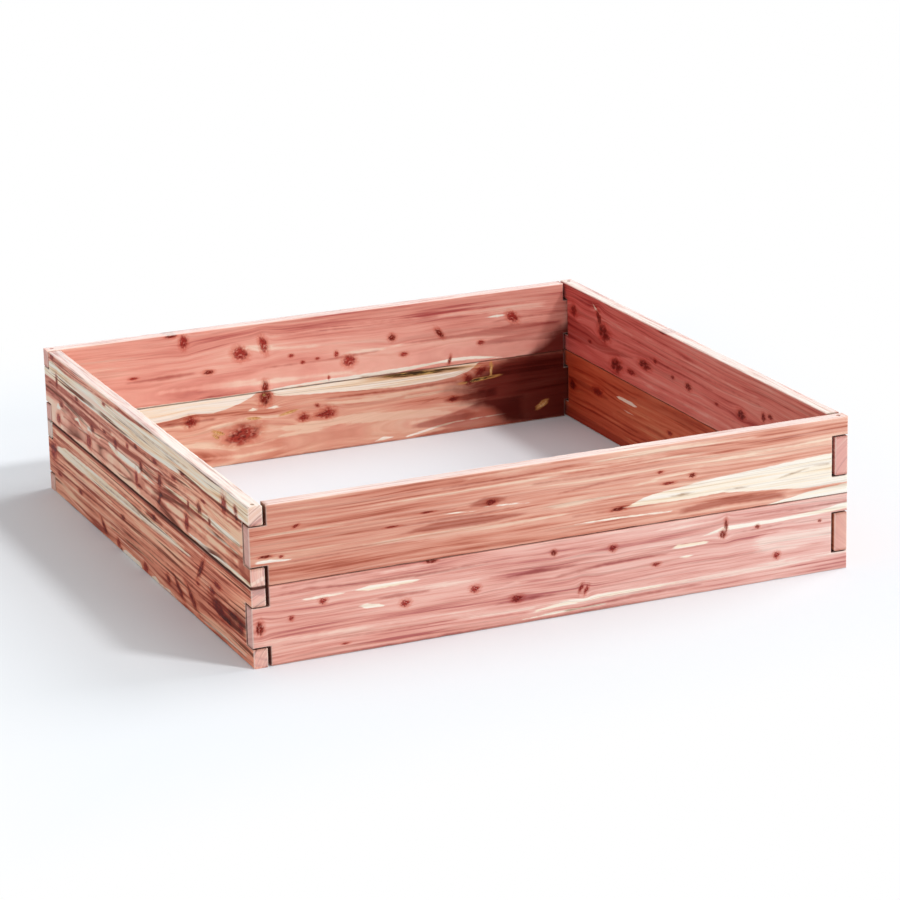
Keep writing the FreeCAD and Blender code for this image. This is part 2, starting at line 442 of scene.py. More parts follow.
# %% Front wall
front_upper = Board(
    wall="front_wall", quarter_turns=0, seen=OUTER, seed=1.0, bow=0.5, pith=(70, -60),
    heart=ORANGE_HEART, tints=[(0.80, 0.68, 0.70), (1.0, 1.05, 1.15)],
    contrast=0.85, splits=0.25, slope=0.5, seam=2.0, flow=0.45,
    knots=[
        Knot(472, 92, 11, 6), Knot(885, 83, 7, 5, 0, DEAD), Knot(731, 40, 17, 4, 2, DEAD),
        Knot(835, 75, 14, 3), Knot(818, 99, 6, 3), Knot(275, 75, 16, 2), Knot(60, 52, 5, 3),
        Knot(345, 92, 15, 2), Knot(90, 105, 7, 3, 20), Knot(30, 56, 14, 3, 0, DEAD),
    ],
    sapwood=[
        [(740, 40, 41), (800, 39, 58), (870, 38, 65), (950, 39, 72), (1050, 30, 77), (1120, 23, 81),
         (1219, 22, 86)], [(1030, -5, 0), (1090, -5, 8), (1150, -5, 17), (1219, -5, 20)],
        [(370, 84, 85), (400, 81, 84), (450, 78, 79)], [(455, 85, 86), (500, 82, 85), (550, 79, 80)],
        [(12, 44, 49), (40, 44, 49), (78, 43, 44)], [(640, 23, 24), (720, 21, 26), (840, 18, 20)],
    ],
    stains=[
        [(845, 47, 48), (862, 46, 50), (882, 48, 49)], [(955, 43, 43), (980, 42, 45), (1006, 43, 43)],
        [(1065, 49, 50), (1095, 53, 57), (1130, 61, 62)], [(1150, 63, 64), (1175, 62, 65)],
        [(310, 93, 94), (345, 90, 94), (400, 89, 91)],
        [(240, 73, 74), (370, 71, 76), (450, 70, 75), (520, 75, 76)],
        [(290, 57, 59), (360, 54, 70), (450, 52, 70), (540, 58, 62)],
        [(640, 38, 40), (745, 38, 41), (800, 37, 39)], [(430, 88, 94), (460, 85, 104), (500, 90, 98)],
        [(610, 87, 89), (690, 93, 97), (770, 98, 100)], [(860, 10, 20), (960, 14, 30), (1080, 10, 22)],
        [(80, 39, 40), (120, 39, 41), (170, 40, 41)], [(380, 131, 133), (520, 132, 135), (640, 138, 140)],
        [(560, 112, 114), (700, 110, 113), (820, 112, 113)],
    ],
    pale=[
        [(220, 48, 50), (330, 39, 51), (480, 37, 51), (620, 45, 49)],
        [(240, 119, 122), (400, 117, 127), (620, 122, 128)],
        [(420, 139, 145), (520, 142, 149), (600, 149, 152)],
        [(680, 136, 139), (850, 137, 146), (1020, 138, 141)], [(0, 94, 98), (130, 92, 96), (280, 90, 92)],
        [(620, 126, 131), (800, 122, 132), (930, 116, 120)], [(760, 78, 80), (840, 88, 94), (900, 94, 97)],
        [(940, 104, 108), (1060, 106, 112), (1180, 110, 114)],
        [(600, 60, 64), (700, 62, 68), (780, 66, 68)],
    ],
)
front_lower = Board(
    wall="front_wall", quarter_turns=0, seen=OUTER, seed=2.0, bow=-0.4, pith=(80, 220),
    heart=PINK_HEART, tints=[(0.92, 0.83, 0.80), (0.95, 0.99, 1.03)],
    contrast=0.82, splits=0.3, slope=0.4, seam=2.0, flow=0.4,
    knots=[
        Knot(75, 85, 5, 5), Knot(137, 108, 8, 6), Knot(297, 78, 10, 7), Knot(436, 83, 10, 7),
        Knot(596, 128, 6, 6, 0, DEAD), Knot(718, 118, 8, 7), Knot(808, 72, 9, 4), Knot(651, 50, 4, 10, -25),
        Knot(662, 45, 4, 10, -25), Knot(949, 110, 7, 8, 0, DEAD), Knot(956, 127, 4, 13, 0, DEAD),
        Knot(1023, 114, 5, 4, 0, DEAD), Knot(1065, 50, 7, 7), Knot(1158, 105, 4, 3, 0, DEAD),
        Knot(350, 151, 12, 4, 0, DEAD), Knot(520, 51, 12, 7), Knot(14, 76, 8, 13, 0, DEAD),
        Knot(178, 20, 9, 2),
    ],
    sapwood=[
        [(200, 117, 118), (225, 114, 123), (310, 115, 121), (330, 118, 118)],
        [(98, 116, 117), (135, 114, 119), (178, 116, 117)],
        [(205, 86, 88), (222, 80, 89), (245, 79, 85), (258, 78, 79)],
        [(843, 97, 101), (852, 96, 104), (908, 96, 103), (920, 98, 101)],
        [(853, 77, 78), (870, 75, 80), (888, 77, 78)],
        [(555, 18, 22), (610, 20, 28), (700, 25, 32), (790, 26, 31), (880, 28, 29)],
        [(530, 7, 8), (600, 8, 12), (700, 10, 12)],
        [(905, 112, 113), (950, 117, 124), (1060, 116, 123), (1160, 119, 127), (1219, 121, 134)],
    ],
    stains=[
        [(500, 94, 96), (560, 93, 103), (640, 96, 99)],
        [(0, -3, 4), (300, -3, 5), (700, -3, 5), (870, -3, 1)],
        [(25, 130, 132), (110, 134, 138), (200, 128, 132), (380, 127, 129)],
        [(320, 125, 127), (420, 130, 132), (500, 131, 132)],
        [(60, 144, 147), (200, 146, 150), (300, 148, 150)], [(600, 78, 82), (700, 86, 92), (830, 88, 91)],
        [(480, 45, 47), (550, 44, 52), (600, 45, 47)],
        [(960, 106, 108), (1040, 108, 112), (1110, 112, 113)], [(60, 36, 38), (200, 31, 34), (340, 28, 30)],
        [(250, 93, 97), (290, 92, 98), (340, 93, 96)], [(620, 8, 12), (760, 14, 20), (900, 16, 20)],
        [(1000, 138, 140), (1120, 133, 137), (1219, 134, 138)],
    ],
    pale=[
        [(0, 45, 52), (150, 43, 50), (300, 40, 46), (450, 38, 41)],
        [(495, 78, 80), (520, 78, 85), (550, 80, 82)],
        [(540, 14, 24), (700, 22, 36), (900, 24, 34), (1100, 26, 36), (1219, 30, 38)],
        [(250, 140, 146), (320, 140, 150), (360, 142, 146)],
        [(820, 138, 141), (870, 136, 142), (920, 140, 142)],
        [(1020, 60, 96), (1080, 56, 100), (1150, 60, 90), (1219, 50, 96)],
        [(300, 100, 102), (400, 98, 104), (500, 100, 102)], [(400, 30, 34), (480, 24, 34), (560, 20, 30)],
    ],
)

# %% Left wall
left_upper = Board(
    wall="left_wall", quarter_turns=3, seen=OUTER, seed=3.0, bow=0.4, pith=(90, 30),
    heart=BROWN_HEART, tints=[(1.12, 1.03, 1.06), (1.14, 0.94, 0.83)],
    contrast=1.8, splits=1.4, slope=-0.4, seam=4.5, flow=0.12,
    knots=[
        Knot(85, 103, 7, 14, 0, DEAD), Knot(218, 97, 12, 5, 0, DEAD), Knot(316, 60, 13, 8, 0, DEAD),
        Knot(289, 27, 17, 15), Knot(464, 68, 10, 12, 30), Knot(592, 97, 10, 5, 0, DEAD),
        Knot(620, 64, 9, 11, 20, DEAD), Knot(588, 33, 9, 15), Knot(606, 21, 14, 4, 0, DEAD),
        Knot(705, 97, 13, 5), Knot(730, 66, 11, 16, -35, DEAD), Knot(735, 40, 9, 5, 0, DEAD),
        Knot(725, 28, 6, 17, -40, DEAD), Knot(880, 27, 12, 20), Knot(893, 66, 6, 9),
        Knot(955, 76, 13, 12, 0, DEAD), Knot(1093, 122, 15, 19), Knot(1155, 130, 10, 8, 0, DEAD),
        Knot(1158, 116, 8, 7, 0, DEAD), Knot(110, 56, 14, 5, 0, DEAD), Knot(540, 84, 9, 6),
        Knot(395, 75, 12, 4, 0, DEAD), Knot(1010, 65, 7, 7, 0, DEAD), Knot(865, 118, 14, 4, 0, DEAD),
        Knot(815, 95, 16, 4), Knot(980, 96, 14, 4), Knot(8, 27, 10, 10, 0, DEAD), Knot(85, 22, 14, 12),
        Knot(400, 133, 11, 4), Knot(60, 148, 14, 6),
    ],
    sapwood=[
        [(0, 98, 128), (60, 99, 138), (150, 100, 132), (300, 101, 137), (500, 101, 141), (640, 103, 146),
         (720, 105, 150), (800, 108, 160), (865, 117, 160), (1000, 118, 160), (1219, 119, 160)],
        [(78, 40, 46), (88, 42, 58), (100, 44, 48)], [(196, 46, 52), (222, 50, 58), (240, 42, 46)],
        [(282, 48, 54), (298, 50, 62), (312, 46, 50)],
        [(420, 56, 62), (436, 50, 62), (470, 46, 58), (560, 48, 57), (610, 52, 58)],
        [(580, 48, 50), (604, 46, 62), (614, 52, 56)],
        [(742, 64, 66), (860, 62, 70), (1000, 63, 73), (1100, 64, 73), (1172, 63, 72)],
        [(980, 47, 48), (1060, 46, 50), (1160, 46, 49)],
        [(870, 7, 8), (950, 4, 11), (1100, 3, 11), (1219, 3, 11)],
        [(212, 37, 39), (250, 38, 40), (290, 40, 42)], [(620, 48, 50), (650, 47, 52), (700, 48, 50)],
    ],
    stains=[
        [(60, 136, 139), (150, 133, 137), (260, 135, 138), (330, 139, 142), (500, 142, 146)],
        [(0, 92, 97), (150, 93, 98), (300, 94, 98), (600, 95, 99), (860, 97, 101)],
        [(860, 113, 117), (1000, 113, 117), (1219, 114, 118)], [(0, 73, 76), (120, 73, 77), (260, 74, 77)],
        [(370, 77, 79), (430, 76, 80), (480, 77, 79)],
        [(120, 34, 37), (220, 34, 38), (330, 37, 42), (450, 37, 42), (580, 38, 42)],
        [(90, 15, 18), (240, 14, 18), (400, 16, 19), (600, 17, 20)],
        [(620, 76, 79), (850, 76, 80), (1000, 75, 78)],
        [(610, 56, 60), (740, 57, 61), (950, 57, 61), (1172, 57, 61)],
        [(620, 39, 43), (760, 39, 43), (950, 39, 43), (1172, 39, 43)],
        [(610, 18, 21), (760, 18, 22), (900, 21, 25), (1172, 19, 23)],
        [(700, 94, 98), (820, 94, 97), (960, 94, 98), (1172, 95, 98)],
        [(30, 86, 92), (240, 84, 92), (440, 82, 88)], [(60, 118, 120), (300, 116, 118), (620, 120, 122)],
        [(640, 132, 134), (800, 134, 136), (900, 136, 138)],
    ],
    pale=[
        [(20, 4, 10), (200, 3, 8), (420, 4, 10), (600, 5, 12)],
        [(640, 28, 34), (800, 27, 35), (960, 30, 36), (1160, 28, 34)],
        [(120, 60, 68), (260, 58, 66), (360, 46, 54)], [(630, 66, 72), (800, 82, 88), (980, 84, 90)],
    ],
)
left_lower = Board(
    wall="left_wall", quarter_turns=3, seen=OUTER, seed=4.0, bow=-0.4, pith=(95, -30),
    heart=BROWN_HEART, tints=[(1.12, 0.94, 0.86), (1.10, 0.75, 0.65)],
    contrast=1.5, splits=1.3, slope=0.4, seam=4.5, flow=0.12,
    knots=[
        Knot(38, 93, 24, 19, 30), Knot(492, 77, 14, 5, 0, DEAD), Knot(213, 50, 15, 5, 0, DEAD),
        Knot(72, 49, 14, 4), Knot(687, 133, 13, 6, 0, DEAD), Knot(363, 21, 24, 8, -32, DEAD),
        Knot(455, 12, 12, 10, -20), Knot(470, 2, 9, 6, 0, DEAD), Knot(622, 12, 15, 11),
        Knot(758, 30, 13, 8, -15, DEAD), Knot(818, 31, 34, 8, -32, DEAD), Knot(893, 33, 33, 10, -32, DEAD),
        Knot(950, 108, 34, 8, 48, DEAD), Knot(1050, 58, 46, 13, -10), Knot(1118, 72, 28, 5, 0, DEAD),
        Knot(1088, 52, 22, 6, -8, DEAD), Knot(1010, 84, 16, 8), Knot(1040, 104, 20, 6),
        Knot(1160, 62, 14, 10), Knot(930, 74, 10, 4),
    ],
    sapwood=[
        [(58, 98, 108), (120, 95, 119), (300, 97, 121), (500, 102, 121), (700, 107, 123), (800, 111, 121),
         (900, 114, 117)], [(478, 1, 4), (500, 0, 10), (585, 1, 12), (600, 4, 6)],
        [(653, 1, 5), (680, 0, 10), (700, 2, 6)], [(960, 8, 9), (1060, 10, 15), (1180, 12, 13)],
        [(990, 84, 85), (1000, 82, 90), (1010, 84, 85)], [(700, 2, 4), (760, 4, 8), (800, 2, 4)],
    ],
    stains=[
        [(0, 144, 160), (1219, 144, 160)],
        [(90, 127, 130), (250, 128, 131), (400, 129, 133), (610, 126, 130)],
        [(60, 90, 93), (200, 89, 93), (300, 92, 95), (470, 96, 99), (600, 100, 103)],
        [(610, 103, 107), (760, 106, 110), (910, 112, 115)],
        [(50, 70, 73), (200, 71, 74), (400, 75, 78), (600, 77, 79)],
        [(50, 54, 57), (300, 55, 58), (620, 57, 60), (900, 58, 61)],
        [(100, 36, 38), (300, 37, 40), (600, 38, 41), (760, 40, 42)],
        [(880, 88, 91), (1000, 90, 93), (1090, 88, 91)],
        [(700, 71, 74), (850, 72, 76), (940, 74, 77), (1080, 70, 76), (1172, 68, 74)],
        [(930, 50, 54), (1020, 50, 57), (1100, 46, 60), (1172, 48, 56)], [(930, 9, 13), (1219, 7, 11)],
        [(640, 126, 136), (690, 126, 138), (740, 128, 134)],
        [(60, 112, 114), (300, 109, 111), (600, 113, 115)], [(980, 30, 33), (1100, 26, 30), (1219, 22, 26)],
    ],
    pale=[
        [(60, 133, 142), (300, 136, 143), (560, 134, 140)],
        [(520, 122, 126), (700, 122, 128), (860, 120, 126)], [(50, 80, 87), (250, 80, 86), (420, 86, 91)],
        [(600, 82, 88), (780, 86, 96), (900, 94, 100)], [(920, 14, 20), (1040, 16, 24), (1180, 14, 20)],
        [(100, 60, 67), (400, 61, 68), (600, 64, 70)],
    ],
    deep=[
        [(980, 60, 70), (1040, 48, 84), (1080, 50, 72)], [(1050, 46, 60), (1115, 42, 72), (1180, 48, 62)],
        [(1090, 66, 78), (1140, 66, 92), (1219, 60, 84)],
    ],
)

# %% Back wall
back_upper = Board(
    wall="back_wall", quarter_turns=2, seen=INNER, seed=5.0, bow=0.4, pith=(-60, 30),
    heart=ROSE_HEART, tints=[(0.97, 1.02, 1.04), (1.03, 1.06, 1.06)],
    contrast=0.55, splits=0.15, slope=0.4, seam=2.5, flow=0.45,
    knots=[
        Knot(159, 92, 16, 10, 40), Knot(334, 78, 15, 6, 50, DEAD), Knot(446, 82, 9, 8, 20, DEAD),
        Knot(236, 44, 8, 5), Knot(419, 41, 9, 5), Knot(547, 43, 15, 12), Knot(742, 104, 9, 19, -15),
        Knot(795, 91, 18, 14, 25), Knot(868, 60, 12, 5, 0, DEAD), Knot(921, 133, 9, 15),
        Knot(948, 150, 14, 5, 0, DEAD), Knot(311, 14, 4, 11, 15, DEAD), Knot(742, 11, 8, 14, 0, DEAD),
        Knot(680, 72, 6, 4), Knot(654, 54, 5, 4), Knot(620, 58, 5, 3), Knot(1035, 68, 10, 3),
        Knot(595, 12, 3, 5), Knot(576, 62, 5, 7),
    ],
    sapwood=[
        [(185, 3, 5), (250, 8, 16), (305, 10, 18), (340, 9, 15), (420, 3, 12), (520, 2, 9), (640, 2, 8),
         (725, 2, 4)], [(500, -3, 2), (760, -3, 3), (1219, -3, 3)],
        [(175, 98, 99), (195, 96, 102), (222, 98, 99)],
    ],
    stains=[
        [(40, 40, 70), (160, 50, 76), (260, 60, 70), (420, 64, 66)],
        [(270, 6, 8), (420, -2, 2), (520, 0, 4)], [(760, 3, 5), (860, 3, 8), (900, 5, 6)],
        [(480, 55, 58), (600, 50, 54), (740, 52, 54)], [(60, 30, 56), (140, 34, 52), (240, 36, 46)],
        [(60, 86, 90), (130, 88, 92), (200, 86, 88)], [(900, 60, 64), (960, 56, 66), (1050, 58, 62)],
    ],
    pale=[
        [(420, 62, 66), (480, 58, 63), (560, 60, 62)], [(380, 117, 122), (560, 116, 124), (720, 118, 122)],
        [(540, 14, 22), (700, 16, 26), (900, 20, 30)], [(80, 104, 118), (200, 106, 122), (330, 112, 118)],
        [(620, 84, 90), (700, 86, 96), (780, 96, 106)], [(760, 24, 32), (860, 22, 36), (980, 26, 32)],
    ],
    # The deep band at the right end is painted shadow of the right wall, widening downwards.
    deep=[[(-60, -40, 120), (60, -40, 52), (130, -40, 4), (400, -40, -60)]],
)
back_lower = Board(
    wall="back_wall", quarter_turns=2, seen=INNER, seed=6.0, bow=-0.4, pith=(-75, 40),
    heart=ORANGE_HEART, tints=[(0.72, 0.52, 0.52), (1.02, 1.04, 1.08)],
    contrast=1.1, splits=0.2, slope=0.5, seam=2.5, flow=0.6,
    knots=[
        Knot(742, 138, 14, 17, 0, DEAD), Knot(913, 108, 14, 12), Knot(600, 86, 17, 12),
        Knot(656, 84, 12, 9), Knot(798, 65, 40, 22, -8), Knot(305, 77, 10, 6), Knot(238, 131, 14, 8, -30),
        Knot(268, 118, 9, 12, -30), Knot(380, 146, 110, 6, 1, BARK), Knot(242, 113, 42, 3.5, -4, BARK),
        Knot(690, 99, 20, 3, -10, SCAR), Knot(770, 97, 15, 3, 8, SCAR), Knot(852, 76, 14, 4, 25, SCAR),
        Knot(858, 68, 9, 3, 40, SCAR), Knot(743, 144, 5, 8, 0, SCAR), Knot(212, 135, 3, 17, 2, SCAR),
        Knot(90, 36, 15, 6, -30, SCAR), Knot(624, 106, 6, 4, 30), Knot(608, 84, 22, 7, 0),
    ],
    sapwood=[
        [(238, 152, 160), (250, 146, 160), (262, 137, 160), (300, 127, 160), (350, 123, 160),
         (420, 122, 160), (500, 124, 160), (600, 131, 160), (700, 137, 160), (722, 141, 160),
         (731, 154, 160)],
        [(760, 154, 160), (776, 144, 160), (800, 134, 160), (830, 126, 160), (862, 121, 160),
         (900, 124, 160), (940, 120, 160), (1000, 116, 160), (1219, 112, 160)],
        [(180, 26, 27), (300, 23, 26), (345, 17, 21), (385, 9, 14), (418, 5, 8)],
        [(450, 9, 11), (472, 6, 14), (490, 6, 8)], [(706, 114, 116), (722, 112, 119), (738, 114, 116)],
        [(760, 114, 116), (772, 113, 120), (784, 114, 116)],
    ],
    stains=[
        [(440, -3, 4), (620, -3, 4), (820, -3, 3)], [(300, 116, 118), (420, 112, 117), (600, 116, 120)],
        [(140, 0, 62), (230, 2, 62), (320, 14, 44), (400, 24, 30)],
        [(200, -4, 20), (300, -4, 14), (400, -4, 4)], [(860, 106, 110), (960, 104, 112), (1000, 106, 108)],
        [(340, 84, 86), (390, 72, 76), (380, 68, 70)], [(200, 70, 90), (270, 68, 84), (330, 72, 80)],
    ],
    pale=[
        [(530, 62, 64), (610, 50, 58), (700, 44, 52), (770, 34, 42), (820, 33, 40), (850, 40, 48),
         (900, 52, 60)], [(300, 38, 50), (420, 50, 66), (560, 54, 74), (700, 60, 70)],
        [(340, 92, 98), (450, 96, 104), (600, 100, 110)], [(690, 90, 96), (780, 92, 102), (880, 88, 94)],
        [(700, 18, 26), (800, 12, 22), (900, 20, 26)], [(240, 40, 46), (320, 38, 44), (400, 34, 38)],
    ],
    # The deep band at the right end is partly a dark stain and partly painted shadow of the right wall.
    deep=[[(-60, -20, 170), (120, -20, 170), (170, -5, 165), (220, 35, 145), (330, 72, 104)]],
)

# %% Right wall
right_upper = Board(
    wall="right_wall", quarter_turns=1, seen=INNER, seed=7.0, bow=0.4, pith=(-80, -20),
    heart=ROSE_HEART, tints=[(0.94, 0.68, 0.68), (0.78, 0.32, 0.34)],
    contrast=0.8, splits=0.3, slope=1.0, seam=2.5, flow=0.6,
    knots=[
        Knot(375, 62, 16, 10, 0, DEAD), Knot(605, 62, 13, 8, 0, DEAD), Knot(755, 80, 9, 5),
        Knot(805, 60, 27, 10, 0, DEAD), Knot(480, 57, 8, 3), Knot(675, 65, 8, 4),
        Knot(940, 26, 27, 16, -5, DEAD), Knot(870, 28, 20, 6), Knot(1000, 84, 27, 18, 10, DEAD),
        Knot(1024, 112, 9, 18, -35, DEAD), Knot(1150, 100, 14, 13), Knot(255, 88, 10, 5, 0, DEAD),
        Knot(283, 80, 8, 9, 0, DEAD), Knot(722, 150, 20, 3), Knot(1070, 48, 9, 4),
    ],
    sapwood=[[(0, 153, 170), (1219, 153, 170)], [(1010, 118, 120), (1045, 128, 134), (1060, 140, 142)]],
    stains=[
        [(500, 80, 82), (700, 78, 84), (1000, 80, 83)], [(860, 60, 62), (980, 40, 60), (1219, 30, 90)],
        [(1080, 70, 72), (1160, 70, 76), (1219, 74, 76)],
        [(300, 100, 102), (600, 98, 101), (900, 104, 106)], [(200, 40, 42), (420, 38, 41), (640, 36, 38)],
    ],
    pale=[
        [(860, 108, 112), (960, 112, 124), (1060, 120, 130)],
        [(300, 110, 116), (560, 112, 120), (800, 118, 124)], [(420, 20, 26), (640, 18, 24), (800, 16, 20)],
    ],
)
right_lower = Board(
    wall="right_wall", quarter_turns=1, seen=INNER, seed=8.0, bow=-0.4, pith=(-90, 180),
    heart=ORANGE_HEART, tints=[(0.90, 0.54, 0.42), (0.60, 0.15, 0.08)],
    contrast=0.9, splits=0.2, slope=0.4, seam=2.5, flow=0.5,
    knots=[
        Knot(690, 92, 12, 5), Knot(1035, 96, 26, 9), Knot(1160, 80, 16, 12, 0, DEAD), Knot(420, 70, 9, 6),
        Knot(180, 40, 10, 7),
    ],
    sapwood=[
        [(848, 108, 110), (870, 106, 113), (930, 105, 112), (947, 108, 108)],
        [(856, 86, 87), (890, 84, 88), (932, 86, 87)],
    ],
    stains=[
        [(850, 126, 127), (920, 124, 130), (1010, 126, 127)],
        [(980, 88, 94), (1100, 86, 100), (1219, 92, 98)], [(840, 52, 55), (1100, 56, 60)],
        [(800, -3, 18), (1219, -3, 25)], [(600, 70, 74), (760, 74, 80), (940, 74, 76)],
    ],
    pale=[
        [(700, 40, 41), (850, 42, 46), (1000, 47, 52), (1165, 48, 49)],
        [(1040, 112, 113), (1130, 111, 116), (1190, 114, 115)],
        [(740, 96, 98), (860, 92, 100), (1000, 104, 110)], [(640, 60, 62), (780, 60, 66), (960, 64, 68)],
        [(700, 20, 24), (840, 24, 30), (960, 30, 33)],
    ],
)

BOARDS = {
    "front_lower_board": front_lower, "right_lower_board": right_lower,
    "back_lower_board": back_lower, "left_lower_board": left_lower,
    "front_upper_board": front_upper, "right_upper_board": right_upper,
    "back_upper_board": back_upper, "left_upper_board": left_upper,
}
print("knots:", sum(len(board.knots) for board in BOARDS.values()))

# %% [markdown]
# ## Grain that flows
# A branch pushes the grain aside, and the lines close again behind it, as water does round a post.
# The same formula serves: near a knot, a point is moved back to the height that its grain line had
# before the branch came. The rings and streaks are drawn from that height, so they bend round knots.
# Sapwood and stains lie where they were measured, and only lean a little through the thickness.
# All this is worked out once for each point of the mesh and stored as attributes. They vary slowly,
# so the coarse points carry them, and the material adds what is fine.

# %% Fields on a board
FLOW_LONG, FLOW_HIGH = 1.7, 1.2
KNOT_LEAN = 0.15
BAND_POINT = 0.25
BAND_OPEN_END = 1219
FAR_FROM_BANDS = 50.0
FAR_FROM_KNOTS = 9.0


def knot_fields(board, along, depth, up):
    """How far each point is from its nearest knot, its place in it, and its height before the flow."""
    nearest = np.full(along.shape, FAR_FROM_KNOTS)
    place = np.zeros((3, *along.shape))
    pushed = np.zeros(along.shape)
    lean = KNOT_LEAN * np.abs(depth - board.seen * BOARD_THICKNESS / MM)
    for knot in board.knots:
        right = along - knot.along
        above = up - knot.up - lean
        cosine = math.cos(math.radians(knot.tilt))
        sine = math.sin(math.radians(knot.tilt))
        u = (right * cosine + above * sine) / knot.half_long
        v = (above * cosine - right * sine) / knot.half_high
        distance = np.hypot(u, v)
        closer = distance < nearest
        nearest[closer] = distance[closer]
        place[:, closer] = u[closer], v[closer], np.full(closer.sum(), knot.kind)
        if knot.kind in (TIGHT, DEAD):
            reach = (right / (FLOW_LONG * knot.half_long)) ** 2 + (above / (FLOW_HIGH * knot.half_high)) ** 2
            pushed += board.flow * above / np.maximum(reach, 1)
    return nearest, place, up - pushed


def band_field(bands, along, height):
    """How deep each point lies inside the nearest band, in millimetres, and negative outside all."""
    best = np.full(along.shape, -FAR_FROM_BANDS)
    for band in bands:
        places, lows, highs = np.array(band, float).T
        above_low = height - np.interp(along, places, lows)
        below_high = np.interp(along, places, highs) - height
        inside = np.minimum(above_low, below_high)
        if places[0] > 0:
            inside = np.minimum(inside, (along - places[0]) * BAND_POINT)
        if places[-1] < BAND_OPEN_END:
            inside = np.minimum(inside, (places[-1] - along) * BAND_POINT)
        best = np.maximum(best, inside)
    return best


def store(mesh, name, values, kind="FLOAT"):
    """Puts one number, or one vector, on every point of a mesh."""
    attribute = mesh.attributes.new(name, kind, "POINT")
    field = "value" if kind == "FLOAT" else "vector"
    attribute.data.foreach_set(field, np.ascontiguousarray(values, np.float32).ravel())


def read(collection, name):
    """A vector field of a mesh's points as three rows of numbers."""
    values = np.zeros(len(collection) * 3)
    collection.foreach_get(name, values)
    return values.reshape(-1, 3).T


def grow_wood(mesh, board):
    """Stores on a board's mesh what grew in it: grain, knots and bands."""
    along, depth, up = read(mesh.attributes["planed"].data, "vector") / MM
    distance, place, grain = knot_fields(board, along, depth, up)
    level = up + board.slope * np.abs(depth - board.seen * BOARD_THICKNESS / MM)
    store(mesh, "wood", np.stack([along, depth, grain], 1) * MM, "FLOAT_VECTOR")
    store(mesh, "knot", place.T, "FLOAT_VECTOR")
    store(mesh, "knot_distance", distance)
    for name in BANDS:
        store(mesh, name, band_field(getattr(board, name), along, level))


def mark_places(mesh, board, is_upper):
    """Stores the sawn ends, and the arrises, rim, seam and joints where the finish paints highlight and
    shade.
    """
    along, depth, up = read(mesh.attributes["planed"].data, "vector")
    facing = np.abs(read(mesh.vertices, "normal"))
    endward = np.clip(facing[0] * 2 - 1, 0, 1)
    levelward = np.clip(facing[2] * 2 - 1, 0, 1)
    to_end = np.minimum(along, BOARD_LENGTH - along)
    to_edge = np.minimum(up, BOARD_HEIGHT - up)
    from_seam = up if is_upper else BOARD_HEIGHT - up
    turned = np.clip(np.minimum(depth, BOARD_THICKNESS - depth) / ARRIS_RADIUS, 0, 1)
    at_end = to_end < 2 * ARRIS_RADIUS
    in_joint = (to_end < FINGER_LENGTH) & (to_edge > 2 * ARRIS_RADIUS)
    at_rim = (up > BOARD_HEIGHT - ARRIS_RADIUS) & is_upper
    # The arrises and the rim are marked for a painted highlight, the pockets of the joints and the seam for
    # painted shade.
    store(mesh, "arris", np.sin(turned * math.pi) * np.clip(from_seam / ARRIS_RADIUS - 1, 0, 1))
    store(mesh, "end_grain", endward * at_end)
    store(mesh, "pocket", np.maximum(endward * ~at_end, levelward * in_joint))
    store(mesh, "rim", levelward * at_rim)
    store(mesh, "seam", np.clip(1 - from_seam / (board.seam * MM), 0, 1))


# %% [markdown]
# ## The cedar finish
# Red cedar is planed but not oiled, so it is matt, with hardly any shine. Its colour grows in layers,
# and each has a cell of its own. Bands, streaks and fibres follow the growth rings, which are circles
# round the pith, so the same sum gives long lines on a face and arcs on an end. Sapwood and stains
# replace or deepen that colour with a ragged border. Knots have a mottled heart and a soft red halo.
# Last come the sawn ends, a painted highlight on the rim and the arrises, and painted shade in the joints
# and seams.
#
# All noise swells about one half, so half is taken off where a swing to both sides is wanted.


# %% Colours, ramps and the shader itself
MATT = 0.08


class Finish(Tree):
    """A material whose tree is built from nothing."""

    def __init__(self, name):
        self.material = bpy.data.materials.new(name)
        self.material.use_nodes = True
        super().__init__(self.material.node_tree)
        self.tree.nodes.clear()

    def attribute(self, name, output="Fac"):
        return self.node("ShaderNodeAttribute", {"attribute_name": name}, output=output)

    def mix(self, factor, first, second, blend="MIX"):
        """One colour laid over another. A colour is a term or a linear red, green and blue."""
        colours = [value if isinstance(value, Term) else (*value, 1.0) for value in (first, second)]
        return self.node("ShaderNodeMix", {"data_type": "RGBA", "blend_type": blend},
                         {0: factor, 6: colours[0], 7: colours[1]}, output=2)

    def ramp(self, factor, low, high, colours):
        """Colours spread evenly from a low to a high value of the factor."""
        made = self.node("ShaderNodeValToRGB", {}, {0: factor})
        stops = made.socket.node.color_ramp.elements
        while len(stops) < len(colours):
            stops.new(0.5)
        for index, (stop, colour) in enumerate(zip(stops, colours)):
            stop.position = low + (high - low) * index / (len(colours) - 1)
            stop.color = (*colour, 1.0)
        return made

    def close(self, colour, roughness, height, bump, depth, metallic=0.0, specular=MATT):
        """The surface: what varies comes as terms, what doesn't is set on the shader itself."""
        normal = self.node("ShaderNodeBump", {}, {"Height": height, "Strength": bump, "Distance": depth})
        surface = self.node("ShaderNodeBsdfPrincipled", {}, {
            "Base Color": colour, "Roughness": roughness, "Normal": normal,
            "Metallic": metallic, "Specular IOR Level": specular})
        self.node("ShaderNodeOutputMaterial", {}, {0: surface})
        return self.material


# %% Growth rings, and the noise that follows them
SEED_STRIDE = 10
LEAST_SWING = 0.4
RING_WANDER = 12 * MM
LATE_STEP = (0.56, 0.72)
# How many wanders of the rings and patches of colour come to a metre.
WANDERS_ALONG, WANDERS_THROUGH, WANDERS_ACROSS = 2.6, 6, 9
PATCHES_ALONG, PATCHES_ACROSS, PATCHES_OFFSET = 5, 14, 9
# How far streaks, fibres and patches push the border of a band, in millimetres.
PUSH_OF_STREAKS, PUSH_OF_FIBRES, PUSH_OF_PATCHES = 12, 3, 5

